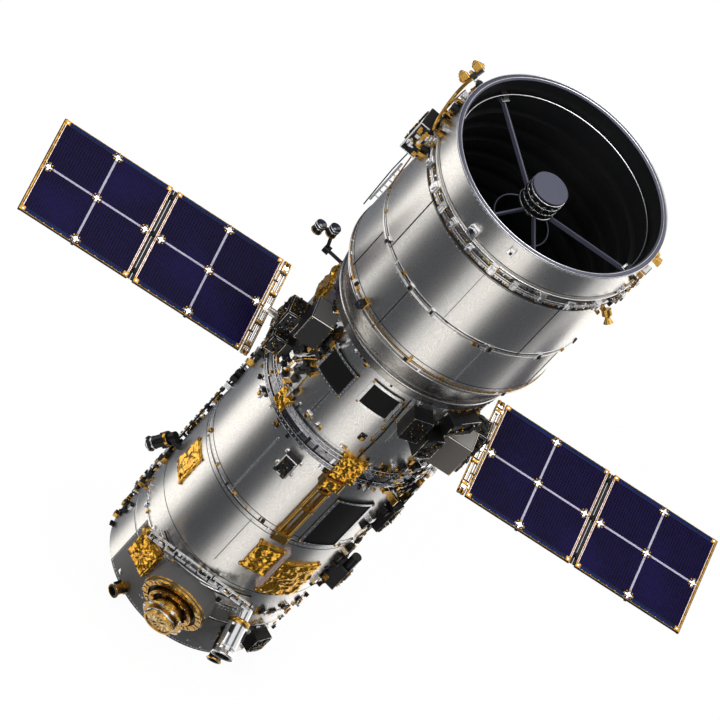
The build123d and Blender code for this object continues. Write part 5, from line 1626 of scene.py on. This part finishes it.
@dataclass
class BayGear:
    """The truss beam's fittings, the bay panel's screws and the cables round the tail."""

    angle: float = -104.5
    left: float = -1.137
    right: float = 1.23
    standoff: float = 0.078

    def beam(self, share: Array, drop: Array) -> Frames:
        """Places on the truss: X along it and Z away from the wall.

        Args:
            share: from its left end to its right one.
            drop: below its upper chord.

        Returns:
            The places.
        """
        turn = math.radians(self.angle)
        out = np.array((math.cos(turn), math.sin(turn), 0.0))
        across = np.array((-math.sin(turn), math.cos(turn), 0.0))
        home = facing((0, 0, 0), across * (self.right - self.left) + (0, 0, 0.36), out)
        along = self.left + (self.right - self.left) * share
        spots = out * (AFT_RADIUS + self.standoff) + across * along[:, None]
        spots = spots + np.stack([0 * share, 0 * share, Z_LOWER + 0.38 + 0.36 * share - drop], axis=-1)
        return Frames(spots, np.repeat(home.axes, len(share), 0))

    def fittings(self) -> Shell:
        """Connectors, clips and knobs along the truss."""
        mix = np.random.default_rng(71)
        many = self.beam(mix.uniform(0, 1, 44), mix.uniform(0.02, 0.13, 44))
        chord = self.beam(np.linspace(0.02, 0.98, 9), np.zeros(9))
        lower = self.beam(np.linspace(0.08, 0.92, 9), np.full(9, 0.15))
        knob = self.beam(np.array((0.0,)), np.array((0.04,)))
        return joined(clutter(many.moved(z=-0.035), 72, (0.025, 0.025, 0.03), (0.09, 0.07, 0.05),
                              (0.24, 0.08, 0.68)),
                      boxes(chord.moved(z=-0.03), (0.03, 0.062, 0.062), 0.006, np.arange(9) % 3),
                      boxes(lower.moved(z=-0.03), (0.03, 0.06, 0.06), 0.006, 2),
                      lathes(knob, [(0.05, -0.06), (0.085, -0.03), (0.085, 0.06), (0.05, 0.1)], 20).toned(1))

    def cables(self) -> Shell:
        """Dark cables behind the truss and wires down to the port."""
        stops = (((-134, Z_LOWER + 0.34, 0.03), (-120, Z_LOWER + 0.28, 0.05), (-100, Z_LOWER + 0.45, 0.05),
                  (-68, Z_LOWER + 0.5, 0.03)),
                 ((-132, Z_LOWER + 0.16, 0.03), (-115, Z_LOWER + 0.2, 0.05), (-90, Z_LOWER + 0.25, 0.05),
                  (-70, Z_LOWER + 0.3, 0.03)))
        rows = [sown(73, 22, (-195.0, -168.0), (Z_BAY + 0.1, Z_LOWER + 0.2), AFT_SEAT),
                sown(74, 46, (-60.0, -18.0), (Z_BAY + 0.1, Z_LOWER + 0.3), AFT_SEAT)]
        rods = (((-136, Z_LOWER + 0.3, 0.08), (-119, Z_LOWER + 0.24, 0.12), (-100, Z_LOWER + 0.36, 0.12),
                 (-78, Z_LOWER + 0.44, 0.06)),
                ((-135, Z_LOWER + 0.22, 0.06), (-122, Z_LOWER + 0.1, 0.1), (-104, Z_LOWER + 0.26, 0.1),
                 (-86, Z_LOWER + 0.3, 0.05)))
        return joined(*(tubes(run(AFT_RADIUS, *s), 0.016).toned(2) for s in stops),
                      *(tubes(run(AFT_RADIUS, *s), 0.015) for s in rods),
                      *(clutter(row, 75 + i, (0.03, 0.03, 0.02), (0.11, 0.12, 0.1), (0.34, 0.22, 0.44))
                        for i, row in enumerate(rows)))

    def panel(self) -> Shell:
        """Screws round the bay's grey panel and small plates on it."""
        top, low = Z_LOWER - 0.07, Z_BAY + 0.006
        angles = np.linspace(-148.5, -61.5, 42)
        rows = [wall(angles, AFT_RADIUS, z) for z in (low + 0.05, top - 0.05)]
        sides = [wall(a, AFT_RADIUS, np.linspace(low + 0.1, top - 0.1, 16)) for a in (-148.8, -61.2)]
        plates = sown(76, 14, (-138.0, -66.0), (low + 0.1, low + 0.5), AFT_SEAT)
        return joined(*(rivets(r, 0.012) for r in rows + sides),
                      clutter(plates, 77, (0.04, 0.04, 0.01), (0.1, 0.1, 0.02), (0.5, 0.5)))

    def build(self) -> None:
        """Place the gear."""
        finishes = SILVER_FIRST
        place("truss_fittings", self.fittings(), finishes)
        place("bay_cables", self.cables(), finishes)
        place("bay_screws", self.panel(), (MACHINED, GREY_PAINT))


@dataclass
class Tubes:
    """Collars, bright lips and dark bores of the star trackers, camera and thrusters."""

    # Angle, wall radius, height, stand-off, tube radius, length, bore, tilt, swing, finish number of the lip
    TABLE = (
        (-67.0, AFT_RADIUS, Z_BAY + 1.43, 0.25, 0.185, 1.0, 0.15, 34.0, -32.0, 0),
        (-66.0, AFT_RADIUS, Z_BAY + 0.85, 0.2, 0.12, 0.7, 0.095, 34.0, -32.0, 1),
        (176.0, AFT_RADIUS, Z_LOWER + 0.95, 0.25, 0.12, 0.62, 0.095, 64.0, 0.0, 0),
        (-128.0, AFT_RADIUS, Z_BAY + 0.17, 0.11, 0.11, 0.33, 0.085, 8.0, 0.0, 1),
    )

    def axis(self, row: tuple[float, ...]) -> Frames:
        """The tube's own place at its post, with Z along it.

        Args:
            row: a row of the table.

        Returns:
            The place.
        """
        angle, radius, height, standoff, _, _, _, tilt, swing, _ = row
        return wall(angle, radius + standoff, height).tipped(2, swing).tipped(0, tilt)

    def drums(self) -> Shell:
        """Rims, a gold hoop and a lens on each drum of the twin sensor."""
        foot = wall(166.0, AFT_RADIUS, Z_SKIRT - 0.32)
        heads = foot.each((0, 0.43, 0.513), (0, 0.27, 0.743)).tipped(0, -90)
        ends = [lathes(heads, [(0.1, z - 0.012), (0.108, z - 0.008), (0.108, z + 0.008), (0.1, z + 0.012)],
                       28, False).toned(t)
                for z, t in ((-0.095, 1), (0.03, 0), (0.093, 0))]
        return joined(*ends, lathes(heads, [(0.08, 0.104), (0.06, 0.112), (0.0, 0.116)], 28, False).toned(3),
                      rivets(circle(foot, 6, 0.06, 0.002), 0.014).toned(1))

    def collars(self) -> Shell:
        """Gold collars, bright lips, black bores with a lens, and screws."""
        parts = []
        for row in self.TABLE:
            tube, length, bore = row[4:7]
            home = self.axis(row)
            start, lip = -0.3 * length, 0.7 * length
            gold = 1.12 * tube + 0.002
            flare = 1.2 * tube + 0.003
            parts += [
                lathes(home, [(gold, start + 0.25 * length), (gold + 0.006, start + 0.26 * length),
                              (gold + 0.006, start + 0.35 * length),
                              (gold, start + 0.36 * length)], 40, False).toned(1),
                lathes(home, [(flare - 0.004, lip - 0.025), (flare + 0.004, lip - 0.015),
                              (flare, lip + 0.006), (flare - 0.016, lip + 0.008)],
                       40, False).toned(row[9]),
                lathes(home, [(flare - 0.016, lip + 0.008), (bore, lip + 0.002),
                              (bore - 0.006, lip - 0.3 * length)], 40, False).toned(2),
                lathes(home, [(bore - 0.005, lip - 0.28 * length), (0.5 * bore, lip - 0.26 * length),
                              (0.0, lip - 0.255 * length)], 40,
                       False).toned(3),
                rivets(circle(home, 10, 1.12 * tube, start + 0.305 * length).tipped(1, 90), 0.014),
                lathes(home, [(tube + 0.001, lip - 0.2 * length), (tube + 0.008, lip - 0.19 * length),
                              (tube + 0.008, lip - 0.16 * length),
                              (tube + 0.001, lip - 0.15 * length)], 40, False),
                boxes(circle(home, 3, tube - 0.01, start + 0.5 * length, 40).tipped(1, 90),
                      (0.16, 0.07, 0.05), 0.008, 2),
            ]
        return joined(*parts)

    def build(self) -> None:
        """Place the details."""
        finishes = (MACHINED, GOLD_PLATE, BLACK_PAINT, LENS)
        place("tube_collars", self.collars(), finishes)
        place("sensor_drums", self.drums(), finishes)


@dataclass
class SideGear:
    """Rail clips, cables and clutter that break up the tube's two silhouettes."""

    rail: float = 166.0

    def left(self) -> Shell:
        """Clips and cables on the rail."""
        heights = np.linspace(Z_BAY + 0.7, Z_FLANGE - 0.5, 26)
        clips = wall(self.rail, AFT_RADIUS + 0.05, heights)
        feet = wall(self.rail, AFT_RADIUS - 0.01, heights[::2])
        lines = [run(AFT_RADIUS, (self.rail + s, Z_BAY + 0.4, 0.04),
                     (self.rail + 0.6 * s, Z_UPPER - 0.4, 0.1), (self.rail + s, Z_FLANGE - 0.1, 0.05))
                 for s in (-3.0, 2.4, 3.4)]
        spots = sown(81, 70, (158.0, 176.0), (Z_BAY + 0.2, Z_FLANGE - 0.1), AFT_SEAT)
        return joined(boxes(clips, (0.08, 0.06, 0.085), 0.008, np.arange(26) % 3),
                      boxes(feet, (0.12, 0.1, 0.06), 0.008, 2),
                      *(tubes(path, 0.017).toned(2) for path in lines),
                      clutter(spots, 82, (0.03, 0.04, 0.03), (0.11, 0.2, 0.14), (0.3, 0.26, 0.44)))

    def right(self) -> Shell:
        """Black and gold gear on the right silhouette of the aft body."""
        upper = sown(83, 70, (-38.0, -6.0), (Z_UPPER + 0.4, Z_FLANGE - 0.05), AFT_SEAT)
        lower = sown(84, 46, (-32.0, -4.0), (Z_LOWER + 0.4, Z_UPPER - 0.1), AFT_SEAT)
        lines = [run(AFT_RADIUS, (-30 + s, Z_UPPER + 0.1, 0.03), (-24 + s, Z_UPPER + 1.2, 0.1),
                     (-28 + s, Z_FLANGE - 0.05, 0.03)) for s in (0, 6, 11)]
        return joined(clutter(upper, 85, (0.04, 0.05, 0.04), (0.14, 0.2, 0.2), (0.2, 0.28, 0.52)),
                      clutter(lower, 86, (0.03, 0.04, 0.03), (0.12, 0.16, 0.14), (0.25, 0.25, 0.5)),
                      *(tubes(path, 0.016).toned(1) for path in lines))

    def build(self) -> None:
        """Place the gear."""
        finishes = SILVER_FIRST
        place("left_gear", self.left(), finishes)
        place("right_gear", self.right(), finishes)




@dataclass
class Studio:
    """Pale floor, soft lights, dark cards for the metal to reflect, and the camera."""

    azimuth: float = -14.48
    elevation: float = 42.68
    roll: float = 42.824
    distance: float = 105.495
    field_of_view: float = 7.0
    target: Triple = (-0.3634, 0.1964, 6.8277)
    floor_size: float = 900.0
    card_radius: float = 30.0
    card_height: float = 60.0
    card_depth: float = 200.0
    cool: Colour = (0.86, 0.94, 1.1, 1.0)
    warm: Colour = (1.0, 0.98, 0.94, 1.0)
    dim: float = 0.5
    # Azimuth, width and glow of each card
    cards: tuple[Triple, ...] = (
        (-138.0, 59.0, 0.07), (-37.3, 62.0, 0.07), (110.0, 72.0, 0.2),
        (168.0, 36.0, 1.8), (-85.0, 22.0, 1.4), (44.0, 58.0, 1.6))
    card_segments: int = 24

    def camera(self) -> None:
        """Place the camera: turned, raised and rolled about its own line of sight."""
        turn, rise, tip = (math.radians(v) for v in (self.azimuth, self.elevation, self.roll))
        back = Vector((math.sin(turn) * math.cos(rise), -math.cos(turn) * math.cos(rise), math.sin(rise)))
        right = Vector((math.cos(turn), math.sin(turn), 0.0))
        up = back.cross(right)
        side = math.cos(tip) * right + math.sin(tip) * up
        top = -math.sin(tip) * right + math.cos(tip) * up
        data = bpy.data.cameras.new("camera")
        data.sensor_width = 36.0
        data.lens = data.sensor_width / 2 / math.tan(math.radians(self.field_of_view) / 2)
        data.clip_end = 2000.0
        made = bpy.data.objects.new("camera", data)
        pose = Matrix((side, top, back)).transposed().to_4x4()
        pose.translation = Vector(self.target) + back * self.distance
        made.matrix_world = pose
        bpy.context.scene.collection.objects.link(made)
        bpy.context.scene.camera = made

    def world(self) -> None:
        """Pale surroundings: white in metal, softer as light."""
        world = bpy.data.worlds.new("studio")
        bpy.context.scene.world = world
        world.use_nodes = True
        tree = world.node_tree
        path = add_node(tree, "LightPath")
        strength = add_node(tree, "MapRange", {"To Min": 1.0, "To Max": 0.55},
                            {"Value": path.outputs["Is Diffuse Ray"]})
        light = tree.nodes["Background"]
        light.inputs["Color"].default_value = (1.0, 1.0, 1.0, 1.0)
        tree.links.new(strength.outputs["Result"], light.inputs["Strength"])

    def floor(self) -> None:
        """A pale floor that keeps a faint shadow and that metal does not mirror."""
        half = self.floor_size / 2
        mesh = bpy.data.meshes.new("floor")
        mesh.from_pydata([(-half, -half, 0), (half, -half, 0), (half, half, 0), (-half, half, 0)], [],
                         [(0, 1, 2, 3)])
        made = bpy.data.objects.new("floor", mesh)
        bpy.context.scene.collection.objects.link(made)
        made.visible_glossy = False
        paint = bpy.data.materials.new("pale_floor")
        paint.use_nodes = True
        tree = paint.node_tree
        diffuse = tree.nodes["Principled BSDF"]
        diffuse.inputs["Base Color"].default_value = (0.9, 0.9, 0.9, 1.0)
        diffuse.inputs["Roughness"].default_value = 0.9
        glow = add_node(tree, "Emission", {"Color": (1.0, 1.0, 1.0, 1.0), "Strength": 1.0})
        path = add_node(tree, "LightPath")
        share = add_node(tree, "Math", {"operation": "MULTIPLY", 1: 0.94},
                         {0: path.outputs["Is Camera Ray"]})
        mixed = add_node(tree, "MixShader", {},
                         {0: share.outputs[0], 1: diffuse.outputs[0], 2: glow.outputs[0]})
        tree.links.new(mixed.outputs[0], tree.nodes["Material Output"].inputs["Surface"])
        mesh.materials.append(paint)

    def hang_cards(self) -> None:
        """Dark and bright curved cards that only metal sees, so that its streaks have depth."""
        for index, (azimuth, width, glow) in enumerate(self.cards):
            paint = bpy.data.materials.new(f"card_{index}")
            paint.use_nodes = True
            shader = paint.node_tree.nodes["Principled BSDF"]
            shader.inputs["Base Color"].default_value = (0.0, 0.0, 0.0, 1.0)
            shader.inputs["Specular IOR Level"].default_value = 0.0
            shader.inputs["Emission Color"].default_value = self.cool if glow < self.dim else self.warm
            shader.inputs["Emission Strength"].default_value = glow
            turn = azimuth + np.linspace(-0.5, 0.5, self.card_segments) * width
            low, high = (wall(turn, self.card_radius, z).origin
                         for z in (-self.card_depth, self.card_height))
            shell = grid(np.stack([low, high])[None])
            mesh = bpy.data.meshes.new(f"card_{index}")
            mesh.from_pydata(shell.points.tolist(), [], shell.faces[0].tolist())
            mesh.materials.append(paint)
            made = bpy.data.objects.new(f"card_{index}", mesh)
            bpy.context.scene.collection.objects.link(made)
            for kind in ("camera", "diffuse", "transmission", "volume_scatter", "shadow"):
                setattr(made, f"visible_{kind}", False)

    def lights(self) -> None:
        """Three soft lamps: a key from the left, a fill from the right and one from above."""
        for name, spot, size, power in (
            ("key", (-30.0, -40.0, 45.0), 25.0, 26000.0),
            ("fill", (40.0, -25.0, 30.0), 25.0, 9000.0),
            ("top", (5.0, 10.0, 60.0), 30.0, 14000.0),
        ):
            data = bpy.data.lights.new(name, "AREA")
            data.size = size
            data.energy = power
            lamp = bpy.data.objects.new(name, data)
            lamp.location = spot
            aim = Vector((0.0, 0.0, 7.0)) - lamp.location
            lamp.rotation_euler = aim.to_track_quat("-Z", "Y").to_euler()
            bpy.context.scene.collection.objects.link(lamp)

    def build(self) -> None:
        """Set up the whole studio."""
        bpy.context.scene.view_settings.view_transform = "Standard"
        self.world()
        self.floor()
        self.hang_cards()
        self.lights()
        self.camera()


def main() -> None:
    """Build the object's looks in order."""
    logging.basicConfig(level=logging.INFO, format="%(name)s: %(message)s")
    Studio().build()
    dress_nodes()
    TubeTrim().build()
    ForeTrim().build()
    Aperture().build()
    for side, sign in (("right", 1), ("left", -1)):
        Wing(side, sign).build()
        DriveGear(side, sign, seed=100 + 50 * sign).build()
    for assembly in (Boxes, Cubes, Radiators, FlangeGear, Foil, DockingPort, BayGear, Tubes, SideGear):
        assembly().build()


if __name__ == "__main__":
    main()
